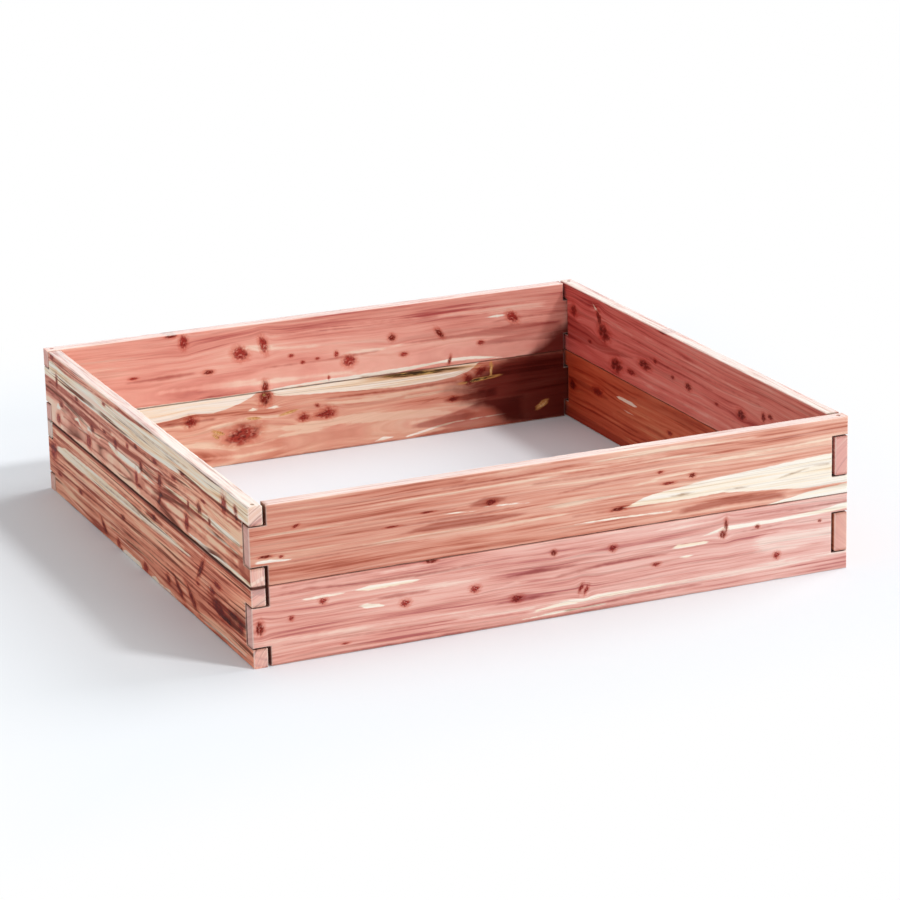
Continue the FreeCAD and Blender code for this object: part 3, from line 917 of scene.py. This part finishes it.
# Noise along the rings: swells per metre along and across them, offset, detail and roughness.
RING_NOISE = {
    "bands": (1.1, 42, 0, 2, 0.5),
    "streaks": (4.4, 205, 3, 4, 0.54),
    "fibres": (24, 1300, 5, 3, 0.5),
    "late": (1.2, 480, 7, 1, 0.5),
    "split": (2.0, 190, 11, 3, 0.5),
    "raised": (2.0, 180, 13, 3, 0.5),
    "breaks": (55, 160, 17, 2, 0.5),
}
# How a band ends: how ragged, how broken, and from where to where it fades in, in millimetres.
BAND_BORDERS = {
    "pale": (0.8, 5, -3.0, 4.5),
    "stains": (0.6, 4, -2.2, 3.2),
    "sapwood": (0.4, 2.5, -0.9, 1.1),
    "deep": (2.8, 10, -6, 28),
}


class Cedar(Finish):
    """The finish of one board. It knows the growth rings and what is fine along them."""

    def __init__(self, name, board):
        super().__init__(name)
        self.board = board
        self.seed = board.seed * SEED_STRIDE
        self.swing = LEAST_SWING + (1 - LEAST_SWING) * board.contrast
        self.along, self.depth, self.across = self.attribute("wood", "Vector").parts()
        self.away = (self.depth - board.seen * BOARD_THICKNESS).size() / BOARD_THICKNESS
        pith_depth, pith_height = (value * MM for value in board.pith)
        round_pith = ((self.depth - pith_depth) ** 2 + (self.across - pith_height) ** 2) ** 0.5
        wander_at = self.vector(self.along * WANDERS_ALONG, self.depth * WANDERS_THROUGH,
                                self.across * WANDERS_ACROSS + self.seed)
        self.ring = round_pith + (self.noise(wander_at, detail=1) - 0.5) * RING_WANDER
        self.bands = self.ring_noise("bands")
        self.streaks = self.ring_noise("streaks")
        self.fibres = self.ring_noise("fibres")
        self.breaks = self.ring_noise("breaks")
        self.late = self.ring_noise("late").step(*LATE_STEP)
        patches_at = self.vector(self.along * PATCHES_ALONG, self.across * PATCHES_ACROSS,
                                 self.seed + PATCHES_OFFSET)
        self.patches = self.noise(patches_at, detail=2)
        pushed = (self.streaks - 0.5) * PUSH_OF_STREAKS + (self.fibres - 0.5) * PUSH_OF_FIBRES
        self.ragged = pushed + (self.patches - 0.5) * PUSH_OF_PATCHES

    def ring_noise(self, name):
        """Noise that is long along the grain and fine across the rings."""
        per_along, per_across, offset, detail, roughness = RING_NOISE[name]
        place = self.vector(self.along * per_along, self.ring * per_across, self.seed + offset)
        return self.noise(place, detail, roughness)

    def band(self, name):
        """How much of a band is here, with a border that frays along the grain."""
        ragged, broken, low, high = BAND_BORDERS[name]
        depth = self.attribute(name) + self.ragged * ragged + (self.breaks - 0.5) * broken
        return depth.step(low, high)

    def multiply(self, factor, first, second):
        return self.mix(factor, first, second, "MULTIPLY")


# %% Heartwood
BAND_SWING, STREAK_SWING, PATCH_SWING = 1.2, 1.9, 0.5
PALE_LIFT, STAIN_DROP, MIDDLE_TONE = 0.42, 0.16, 0.46
DARKEST_AT, PALEST_AT = 0.10, 0.90
LATE_SHARE, STAIN_SHARE = 0.23, 0.72
LATE_TINT = (0.72, 0.50, 0.42)
STAIN_TINT = (0.56, 0.33, 0.31)
FAR_TINT = (0.96, 0.92, 0.90)


def tint_and_painted_light(cedar):
    """The board's tint from its tongue to its fork, which holds painted light and shade as well as its own
    tone: paler towards the right of the front wall, lighter on the left wall that stands in shade, and
    darker towards the back right corner on the right and back walls. It fades towards the face that isn't
    seen.
    """
    tint = cedar.mix((cedar.along / BOARD_LENGTH).clamp(), *cedar.board.tints)
    return cedar.mix(cedar.away, tint, FAR_TINT)


def heartwood(cedar, stain, tint):
    """Red wood in bands and streaks, with pale and stained strips and thin late wood."""
    tone = (cedar.bands - 0.5) * (BAND_SWING * cedar.swing) + (cedar.patches - 0.5) * PATCH_SWING
    tone = tone + (cedar.streaks - 0.5) * (STREAK_SWING * cedar.board.contrast)
    tone = tone + cedar.band("pale") * (PALE_LIFT * cedar.swing) - stain * (STAIN_DROP * cedar.swing)
    heart = cedar.ramp(tone + MIDDLE_TONE, DARKEST_AT, PALEST_AT, cedar.board.heart)
    heart = cedar.multiply(1.0, heart, tint)
    heart = cedar.multiply(cedar.late * (LATE_SHARE * cedar.swing), heart, LATE_TINT)
    return cedar.multiply(stain * min(1.0, STAIN_SHARE * cedar.swing), heart, STAIN_TINT)


# %% Sapwood
SAP_CREAM = [(0.74, 0.47, 0.27), (0.92, 0.72, 0.49), (0.98, 0.87, 0.69), (0.99, 0.94, 0.83)]
SAP_STAIN = (0.42, 0.26, 0.15)
SAP_STREAK_SWING, SAP_BAND_SWING = 2.2, 0.8
SAP_TONE, SAP_TONE_DROP = 0.94, 0.13
SAP_SHARE_OF_TINT = 0.3
STAIN_IN_SAP, LATE_IN_SAP = 0.8, 0.36


def add_sapwood(cedar, heart, stain, tint):
    """Cream sapwood over the heartwood, with brown lines in it where the board has contrast."""
    contrast = cedar.board.contrast
    tone = (cedar.streaks - 0.5) * (SAP_STREAK_SWING * contrast) + (cedar.bands - 0.5) * SAP_BAND_SWING
    cream = cedar.ramp(tone + SAP_TONE - SAP_TONE_DROP * contrast, 0.0, 1.0, SAP_CREAM)
    cream = cedar.mix(SAP_SHARE_OF_TINT, cream, cedar.multiply(1.0, cream, tint))
    sap = cedar.band("sapwood")
    wood = cedar.mix(sap, heart, cream)
    wood = cedar.multiply(stain * sap * STAIN_IN_SAP, wood, SAP_STAIN)
    return cedar.multiply(cedar.late * sap * min(1.0, LATE_IN_SAP * contrast), wood, SAP_STAIN)


# %% Splits and raised fibres with painted shade and highlight, and deep stains with painted shadow
# Painted shade in splits, painted highlight on raised fibres, and the dark of deep stains and painted
# shadow.
SPLIT_PAINTED_SHADE = (0.20, 0.055, 0.030)
RAISED_GRAIN_PAINTED_HIGHLIGHT = (0.97, 0.77, 0.63)
STAIN_AND_PAINTED_SHADOW_TINT = (0.20, 0.065, 0.060)
FIBRE_SHADES = [(0.91, 0.87, 0.85), (1.0, 1.0, 1.0)]
SPLIT_SHARE, RAISED_SHARE = 0.7, 0.6
DEEP_FADE = 0.9


def add_fibres(cedar, wood, tint):
    """Rough fibres, with a painted highlight on raised ones and painted shade in fine splits, then deep
    stains, which on the back boards hold painted shadow too. Gives the wood, and how high the surface stands
    for them.
    """
    where_split = cedar.patches.step(0.34, 0.54) * cedar.board.splits
    where_raised = (1 - cedar.patches.step(0.48, 0.70)) * cedar.board.splits
    split = cedar.ring_noise("split").step(0.56, 0.63) * where_split
    raised = cedar.ring_noise("raised").step(0.57, 0.66) * where_raised
    # A painted highlight along raised fibres and painted shade in the splits.
    wood = cedar.mix(raised * RAISED_SHARE, wood, cedar.multiply(1.0, RAISED_GRAIN_PAINTED_HIGHLIGHT, tint))
    wood = cedar.mix(split * SPLIT_SHARE, wood, SPLIT_PAINTED_SHADE)
    # Deep stains, and on the back boards painted shadow of the right wall, fade away from the seen face.
    wood = cedar.multiply(cedar.band("deep") * (1 - cedar.away * DEEP_FADE), wood, STAIN_AND_PAINTED_SHADOW_TINT)
    wood = cedar.multiply(1.0, wood, cedar.ramp(cedar.fibres, 0.25, 0.75, FIBRE_SHADES))
    return wood, raised * 0.5 - split * 1.4


# %% Knots
HALO_TINT = (0.84, 0.52, 0.46)
TIGHT_TINT = (0.53, 0.16, 0.16)
DEAD_TINT = (0.34, 0.085, 0.060)
SPECK_DARK = (0.075, 0.012, 0.010)
BARK_BROWN = [(0.035, 0.018, 0.008), (0.11, 0.055, 0.018), (0.50, 0.31, 0.10)]
SCAR_GOLD = [(0.60, 0.27, 0.08), (0.86, 0.55, 0.22), (0.92, 0.72, 0.40)]
KNOT_FRAY = 0.9
KNOT_RINGS, RING_FRAY, CRACKS = 24, 7, 14
# Where the heart, the halo and the gold round bark fade out, and the crease round a knot rises and
# falls, as a distance that is 1 on the knot's own ellipse.
HEART_FADE, HALO_FADE, GOLD_FADE = (0.55, 1.16), (0.9, 1.9), (1.0, 1.5)
CREASE_RISE, CREASE_FALL = (0.72, 0.95), (0.98, 1.2)
SPECK_STEP, FLECK_STEP, RING_STEP = (0.45, 0.64), (0.48, 0.66), (0.1, 0.9)
FLECK_SHARE, SPECK_SHARE, RING_SHARE, GOLD_SHARE = 0.42, 0.6, 0.2, 0.6
HALO_SHARE, FLECKS_IN_HALO = 0.85, 0.5
CREASE_DEPTH, CRACK_DEPTH, BARK_DEPTH = 0.4, 0.5, 1.2


def add_knots(cedar, wood):
    """Knots, bark and scars. Gives the wood, the inside of the knots and their height.

    The places u and v in a knot are in units of its half sizes.
    """
    u, v, kind = cedar.attribute("knot", "Vector").parts()
    dead, bark, scar = kind.clamp(), (kind - 1).clamp(), (kind - 2).clamp()
    live = 1 - bark
    frayed = cedar.noise(cedar.vector(u * 1.3 + cedar.seed, v * 1.3, kind), detail=2, roughness=0.4) - 0.5
    distance = cedar.attribute("knot_distance") + frayed * KNOT_FRAY
    specks = cedar.noise(cedar.vector(u * 3.2 + cedar.seed, v * 2.6, kind), detail=3, roughness=0.55)
    specks = specks.step(*SPECK_STEP)
    flecks = cedar.noise(cedar.vector(u * 2.6, v * 2.2 + cedar.seed, kind), detail=2).step(*FLECK_STEP)
    rings = (distance * KNOT_RINGS + frayed * RING_FRAY).sine().step(*RING_STEP)
    inside = (1 - distance.step(*HEART_FADE)) * (1 - flecks * FLECK_SHARE)

    halo = (1 - distance.step(*HALO_FADE)) * live * (HALO_SHARE - flecks * FLECKS_IN_HALO)
    wood = cedar.multiply(halo, wood, HALO_TINT)
    wood = cedar.multiply(inside, wood, cedar.mix(dead, TIGHT_TINT, DEAD_TINT))
    wood = cedar.mix(inside * (specks * SPECK_SHARE + rings * RING_SHARE) * live, wood, SPECK_DARK)

    bark_brown = cedar.ramp(specks, 0.0, 1.0, BARK_BROWN)
    scar_gold = cedar.ramp(frayed + 0.5, 0.3, 0.7, SCAR_GOLD)
    wood = cedar.mix((1 - distance.step(*GOLD_FADE)) * bark * GOLD_SHARE, wood, SCAR_GOLD[0])
    foreign = inside * bark * (1 - scar * (0.3 + specks * 0.5))
    wood = cedar.mix(foreign, wood, cedar.mix(scar, bark_brown, scar_gold))

    crease = distance.step(*CREASE_RISE) * (1 - distance.step(*CREASE_FALL))
    cracks = (frayed * CRACKS).sine() * inside * dead
    return wood, inside, crease * -CREASE_DEPTH - cracks * CRACK_DEPTH - inside * bark * BARK_DEPTH


# %% Rim and arrises with painted highlight, ends, and joints and seams with painted shade
RIM_PAINTED_HIGHLIGHT = [(0.56, 0.36, 0.33), (0.80, 0.60, 0.56), (0.90, 0.78, 0.74), (0.93, 0.85, 0.82)]
ARRIS_PAINTED_HIGHLIGHT = (0.94, 0.80, 0.70)
END_TINT = (0.74, 0.58, 0.56)
END_PALE = (0.90, 0.62, 0.57)
PAINTED_GAP_SHADE = (0.07, 0.018, 0.013)
SEAM_PAINTED_SHADE = (0.15, 0.055, 0.035)
WIDE_SEAM = 4.0
YEAR_RING = 2.6 * MM


def add_end_grain_and_painted_light(cedar, wood):
    """A painted highlight on the rim and the arrises, end grain, and painted shade in the joints and seams.
    """
    # A patchy painted highlight on the rim's top face.
    rim_highlight_at = cedar.vector(cedar.along * 7, cedar.depth * 170, cedar.seed + 19)
    rim_painted_highlight = cedar.ramp(cedar.noise(rim_highlight_at, detail=4, roughness=0.6), 0.33, 0.58, RIM_PAINTED_HIGHLIGHT)
    wood = cedar.mix(cedar.attribute("rim") * (0.6 + cedar.patches * 0.35), wood, rim_painted_highlight)

    end_grain = cedar.attribute("end_grain")
    arcs = (cedar.ring * (2 * math.pi / YEAR_RING) + cedar.streaks * 9).sine() * 0.5 + 0.5
    wood = cedar.mix(end_grain * 0.55, wood, END_PALE)
    wood = cedar.multiply(end_grain * (arcs * 0.16 + cedar.patches * 0.5), wood, END_TINT)
    # A painted highlight on the rounded arrises.
    wood = cedar.mix(cedar.attribute("arris") * (0.25 + cedar.patches * 0.55), wood, ARRIS_PAINTED_HIGHLIGHT)
    # Painted shade on the faces inside the joints.
    wood = cedar.mix(cedar.attribute("pocket") * 0.85, wood, PAINTED_GAP_SHADE)

    # Painted shade along the seam between the tiers, nearly black where the seam is wide.
    is_open = cedar.board.seam >= WIDE_SEAM
    closeness = (cedar.attribute("seam") + cedar.ragged * 0.02).step(0.1, 0.7)
    if is_open:
        return cedar.mix(closeness * 0.94, wood, PAINTED_GAP_SHADE)
    return cedar.mix(closeness * 0.6, wood, SEAM_PAINTED_SHADE)


# %% The whole finish of a board
BRIGHTEST = (0.96, 0.94, 0.91)
CEDAR_BUMP, CEDAR_RELIEF = 0.5, 0.8 * MM
# Saw marks on an end: how fast they come, in radians to a metre, and how deep they are.
SAW_ACROSS, SAW_UP, SAW_DEPTH = 2600, 700, 0.25


def cedar_finish(name, board):
    """Grows the finish of one board, layer on layer. No colour ends up paler than clean wood."""
    cedar = Cedar(name, board)
    stain = cedar.band("stains")
    tint = tint_and_painted_light(cedar)
    heart = heartwood(cedar, stain, tint)
    wood = add_sapwood(cedar, heart, stain, tint)
    wood, fibre_height = add_fibres(cedar, wood, tint)
    wood, in_knot, knot_height = add_knots(cedar, wood)
    wood = add_end_grain_and_painted_light(cedar, wood)
    wood = cedar.mix(1.0, wood, BRIGHTEST, "DARKEN")

    end_grain = cedar.attribute("end_grain")
    sawn = end_grain * (cedar.depth * SAW_ACROSS + cedar.across * SAW_UP).sine() * SAW_DEPTH
    height = cedar.streaks * 0.5 + cedar.fibres * 0.35 - cedar.late * 0.5 - stain * 0.3
    height = height + fibre_height + knot_height + sawn
    roughness = 0.52 + cedar.fibres * 0.16 + end_grain * 0.2 - in_knot * 0.1
    roughness = roughness + cedar.attribute("arris") * 0.08
    return cedar.close(wood, roughness, height, bump=CEDAR_BUMP, depth=CEDAR_RELIEF)


# %% [markdown]
# ## Standing the boards in place
# Each board is bored, weathered and grown in its own axes, then turned by quarter turns onto its wall.
# The turn and the place go into the mesh, and the object itself stays at the origin, so the board
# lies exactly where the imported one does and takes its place.

# %% Eight boards
SWELL = 0.7 * MM
WEAR = 1.0 * MM
SMOOTH_BELOW = math.radians(38)


def stand_on_wall(mesh, board, node):
    """Turns a board from its own axes onto its wall and lifts it to its tier."""
    low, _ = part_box(node)
    turn = Matrix.Rotation(math.radians(90 * board.quarter_turns), 4, "Z")
    corner = Vector((-BOARD_LENGTH / 2, -BOARD_LENGTH / 2, 0))
    mesh.transform(Matrix.Translation((0, 0, low.z)) @ turn @ Matrix.Translation(corner))


def make_board(node, board):
    """Makes the plank that takes the place of one packed board."""
    material = cedar_finish(f"cedar_{node}", board)
    is_upper = "upper" in node
    mesh = run_tree(node.replace("_board", "_plank"), blank, bore_and_weather, {
        "Bore Radius": BORE_RADIUS, "Bore Inset": PIN_INSET,
        "Board Length": BOARD_LENGTH, "Board Height": BOARD_HEIGHT, "Board Thickness": BOARD_THICKNESS,
        "Bow": board.bow * MM, "Swell": SWELL, "Wear": WEAR, "Seed": board.seed, "Material": material})
    grow_wood(mesh, board)
    mark_places(mesh, board, is_upper)
    mesh.attributes.remove(mesh.attributes["planed"])
    stand_on_wall(mesh, board, node)
    mesh.shade_smooth()
    mesh.set_sharp_from_angle(angle=SMOOTH_BELOW)
    piece = bpy.data.objects.new(mesh.name, mesh)
    bpy.context.scene.collection.objects.link(piece)
    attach(piece, board.wall)
    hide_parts(node)
    return piece


for node, board in BOARDS.items():
    piece = make_board(node, board)
    print(piece.name, len(piece.data.vertices), "points,", piece.data.materials[0].name)

# %% [markdown]
# ## The corner pins
# Each pin is a length of zinc-coated rod with its ends bevelled by the cutter. A rod is a circle
# carried along a line, so Geometry Nodes make it: the line's points near its ends are drawn thinner,
# which is the bevel. One tree makes all four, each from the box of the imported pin.

# %% The tree that draws a pin
PIN_SIDES = 40
PIN_STEPS = 48
PIN_INPUTS = [
    ("Centre", "NodeSocketVector"),
    ("Radius", "NodeSocketFloat"),
    ("Length", "NodeSocketFloat"),
    ("Bevel", "NodeSocketFloat"),
    ("Material", "NodeSocketMaterial"),
]


def pin_tree():
    """A line of points, drawn in at both ends and swept with a circle, then capped."""
    tree, given = new_geometry_tree("pin", PIN_INPUTS)
    top = tree.vector(0, 0, given["Length"])
    line = tree.node("GeometryNodeMeshLine", {"mode": "END_POINTS"}, {"Count": PIN_STEPS, "Offset": top})
    index = tree.node("GeometryNodeInputIndex")
    from_end = index.smaller((PIN_STEPS - 1) - index)
    is_end = 1 - from_end.clamp()
    up = index / (PIN_STEPS - 1) * given["Length"]
    beside_end = from_end.clamp() - (from_end - 1).clamp()
    is_high = tree.math("FLOOR", index / (PIN_STEPS / 2)).clamp()
    level = given["Bevel"] * (1 - is_high) + (given["Length"] - given["Bevel"]) * is_high
    height = up * (1 - beside_end) + level * beside_end
    placed = tree.node("GeometryNodeSetPosition", {},
                       {"Geometry": line, "Position": tree.vector(0, 0, height)})
    curve = tree.node("GeometryNodeMeshToCurve", {}, {0: placed})
    thin = given["Radius"] - given["Bevel"] * is_end
    drawn = tree.node("GeometryNodeSetCurveRadius", {}, {"Curve": curve, "Radius": thin})
    circle = tree.node("GeometryNodeCurvePrimitiveCircle", {}, {"Resolution": PIN_SIDES, "Radius": 1.0})
    rod = tree.node("GeometryNodeCurveToMesh", {},
                    {"Curve": drawn, "Profile Curve": circle, "Scale": thin, "Fill Caps": True})
    stood = tree.node("GeometryNodeTransform", {}, {"Geometry": rod, "Translation": given["Centre"]})
    return close_geometry_tree(tree, stood, given["Material"])


# %% The zinc finish, and four pins
ZINC = [(0.36, 0.37, 0.38), (0.52, 0.53, 0.55), (0.66, 0.67, 0.69)]
WHITE_RUST = (0.58, 0.58, 0.57)
ZINC_SHINE, ZINC_BUMP, ZINC_RELIEF = 0.5, 0.25, 0.2 * MM
PIN_BEVEL = 0.8 * MM
# How many spangles, marks of drawing and blooms of rust come to a metre.
SPANGLES = 260
DRAWN_ACROSS, DRAWN_ALONG = 1800, 14
BLOOMS_ACROSS, BLOOMS_ALONG = 70, 40
BLOOM_STEP = (0.54, 0.66)


def zinc():
    """Spangled zinc, drawn lengthwise, with matt white rust in blooms."""
    finish = Finish("zinc_rod")
    place = finish.node("ShaderNodeTexCoord", output="Object")
    x, y, z = place.parts()
    spangle_at = finish.vector(x * SPANGLES, y * SPANGLES, z * SPANGLES)
    drawn_at = finish.vector(x * DRAWN_ACROSS, y * DRAWN_ACROSS, z * DRAWN_ALONG)
    bloom_at = finish.vector(x * BLOOMS_ACROSS, y * BLOOMS_ACROSS, z * BLOOMS_ALONG)
    spangle = finish.noise(spangle_at, detail=1)
    drawn = finish.noise(drawn_at, detail=2)
    bloom = finish.noise(bloom_at, detail=3).step(*BLOOM_STEP)
    colour = finish.ramp(spangle, 0.3, 0.7, ZINC)
    colour = finish.mix(bloom * 0.5, colour, WHITE_RUST)
    roughness = 0.34 + spangle * 0.14 + bloom * 0.25
    return finish.close(colour, roughness, drawn * 0.6 + bloom * 0.4, ZINC_BUMP, ZINC_RELIEF,
                        metallic=1 - bloom * 0.35, specular=ZINC_SHINE)


pin = pin_tree()
zinc_rod = zinc()
for corner in ("front_left", "front_right", "back_right", "back_left"):
    node = f"{corner}_pin"
    low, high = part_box(node)
    centre = Vector(((low.x + high.x) / 2, (low.y + high.y) / 2, low.z))
    mesh = run_tree(f"{corner}_rod", bpy.data.meshes.new("nothing"), pin, {
        "Centre": centre, "Radius": (high.x - low.x) / 2, "Length": high.z - low.z,
        "Bevel": PIN_BEVEL, "Material": zinc_rod})
    mesh.shade_smooth()
    mesh.set_sharp_from_angle(angle=SMOOTH_BELOW)
    piece = bpy.data.objects.new(mesh.name, mesh)
    bpy.context.scene.collection.objects.link(piece)
    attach(piece, node)
    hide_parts(node)
    print(piece.name, len(mesh.vertices), "points")

# %% [markdown]
# ## Floor, light and camera
# The bed stands on a white studio floor that runs on past the picture. A broad sky fills the shade.
# A narrow key lamp, high on the right in front, draws the shadow inside the right wall. A wide lamp
# further to the side softens the one to the left of the bed, and a weak low lamp lifts the front.
# Together they are at a level at which a colour looks about as it is written.

# %% The floor
FLOOR_HALF = 40.0
FLOOR_DROP = 0.2 * MM
FLOOR_WHITE = (0.80, 0.84, 0.88)
FLOOR_MOTTLE = (0.79, 0.80, 0.83)
FLOOR_MOTTLE_SHARE = 0.02
FLOOR_MOTTLE_SCALE = 3.0
PLAIN_WHITE = (1.0, 1.0, 1.0, 1.0)

# How the seen floor turns to plain white: metres beyond the bed where two steps begin and end, the
# share of the first step, and how much sooner both come in front and on the right than behind.
NEAR_STEP, FAR_STEP = (0.0, 0.16), (0.22, 0.8)
NEAR_GLOW = 0.15
FRONT_LEAN = 0.15


def is_seen(tree):
    """1 for rays that come from the camera, straight or by way of glass or metal, and 0 for light."""
    path = tree.node("ShaderNodeLightPath", output="Is Camera Ray")
    glossy, clear = (Term(tree, path.socket.node.outputs[name])
                     for name in ("Is Glossy Ray", "Is Transmission Ray"))
    return (path + glossy + clear).clamp()


def make_floor():
    """A white sheet. Away from the bed, more and more of what the camera sees of it is plain white."""
    mesh = bpy.data.meshes.new("floor")
    half = FLOOR_HALF
    corners = [(-half, -half), (half, -half), (half, half), (-half, half)]
    mesh.from_pydata([(x, y, -FLOOR_DROP) for x, y in corners], [], [(0, 1, 2, 3)])
    finish = Finish("studio_floor")
    place = finish.node("ShaderNodeTexCoord", output="Object")
    x, y, _ = place.parts()
    beyond = finish.math("MAXIMUM", x.size(), y.size()) - BOARD_LENGTH / 2 + (x - y) * FRONT_LEAN
    glow = beyond.step(*NEAR_STEP) * NEAR_GLOW + beyond.step(*FAR_STEP) * (1 - NEAR_GLOW)
    mottle_at = finish.node("ShaderNodeVectorMath", {"operation": "SCALE"},
                            {0: place, "Scale": FLOOR_MOTTLE_SCALE})
    colour = finish.mix(finish.noise(mottle_at) * FLOOR_MOTTLE_SHARE, FLOOR_WHITE, FLOOR_MOTTLE)
    sheet = finish.node("ShaderNodeBsdfDiffuse", {}, {"Color": colour})
    white = finish.node("ShaderNodeEmission", {}, {"Color": PLAIN_WHITE, "Strength": 1.0})
    surface = finish.node("ShaderNodeMixShader", {}, {0: is_seen(finish) * glow, 1: sheet, 2: white})
    finish.node("ShaderNodeOutputMaterial", {}, {0: surface})
    mesh.materials.append(finish.material)
    floor = bpy.data.objects.new("floor", mesh)
    bpy.context.scene.collection.objects.link(floor)


make_floor()

# %% Sky and lamps
SKY_STRENGTH = 0.57
LAMPS = [
    # name, strength, width of the light in degrees, the way it travels
    ("key_lamp", 1.3, 8, (-0.62, 0.68, -1.0)),
    ("side_lamp", 1.3, 34, (-1.3, -0.2, -1.0)),
    ("front_lamp", 0.35, 20, (-0.1, 1.0, -0.4)),
]


def make_sky():
    """White where it is seen or mirrored, and an even fill everywhere else."""
    world = bpy.data.worlds.new("studio")
    world.use_nodes = True
    tree = Tree(world.node_tree)
    world.node_tree.nodes.clear()
    strength = is_seen(tree) * (1.0 - SKY_STRENGTH) + SKY_STRENGTH
    sky = tree.node("ShaderNodeBackground", {}, {"Color": PLAIN_WHITE, "Strength": strength})
    tree.node("ShaderNodeOutputWorld", {}, {0: sky})
    bpy.context.scene.world = world


def make_lamp(name, strength, width, travel):
    """A lamp so far away that its light arrives from one side, spread over a width in degrees."""
    lamp = bpy.data.lights.new(name, "SUN")
    lamp.energy = strength
    lamp.angle = math.radians(width)
    holder = bpy.data.objects.new(name, lamp)
    holder.rotation_euler = Vector(travel).to_track_quat("-Z", "Y").to_euler()
    bpy.context.scene.collection.objects.link(holder)


make_sky()
for settings in LAMPS:
    make_lamp(*settings)

# %% [markdown]
# The photograph was taken from far off with a long lens. Its place, turn and focal length come from
# fitting a pinhole camera to the bed's corners, with the bed at its real size.

# %% Camera
CAMERA_PLACE = Vector((-2.5541, -6.0507, 2.1576))
CAMERA_HEADING = 0.4057
CAMERA_PITCH = 0.2954
CAMERA_ROLL = -0.0237
FOCAL_PIXELS = 3425.65
PICTURE_PIXELS = 900
SENSOR = 36.0
FARTHEST_SEEN = 200.0


def make_camera():
    """A pinhole camera at its fitted place. Ahead, up and right are its axes in the room."""
    camera = bpy.data.cameras.new("camera")
    camera.sensor_width = SENSOR
    camera.lens = FOCAL_PIXELS / PICTURE_PIXELS * SENSOR
    camera.clip_end = FARTHEST_SEEN
    ahead = Vector((math.sin(CAMERA_HEADING) * math.cos(CAMERA_PITCH),
                    math.cos(CAMERA_HEADING) * math.cos(CAMERA_PITCH), -math.sin(CAMERA_PITCH)))
    level = Vector((math.cos(CAMERA_HEADING), -math.sin(CAMERA_HEADING), 0))
    upright = level.cross(ahead)
    right = level * math.cos(CAMERA_ROLL) + upright * math.sin(CAMERA_ROLL)
    up = upright * math.cos(CAMERA_ROLL) - level * math.sin(CAMERA_ROLL)
    holder = bpy.data.objects.new("camera", camera)
    turn = Matrix((right, up, -ahead)).transposed().to_4x4()
    holder.matrix_world = Matrix.Translation(CAMERA_PLACE) @ turn
    bpy.context.scene.collection.objects.link(holder)
    bpy.context.scene.camera = holder


make_camera()
bpy.context.scene.view_settings.view_transform = "Standard"
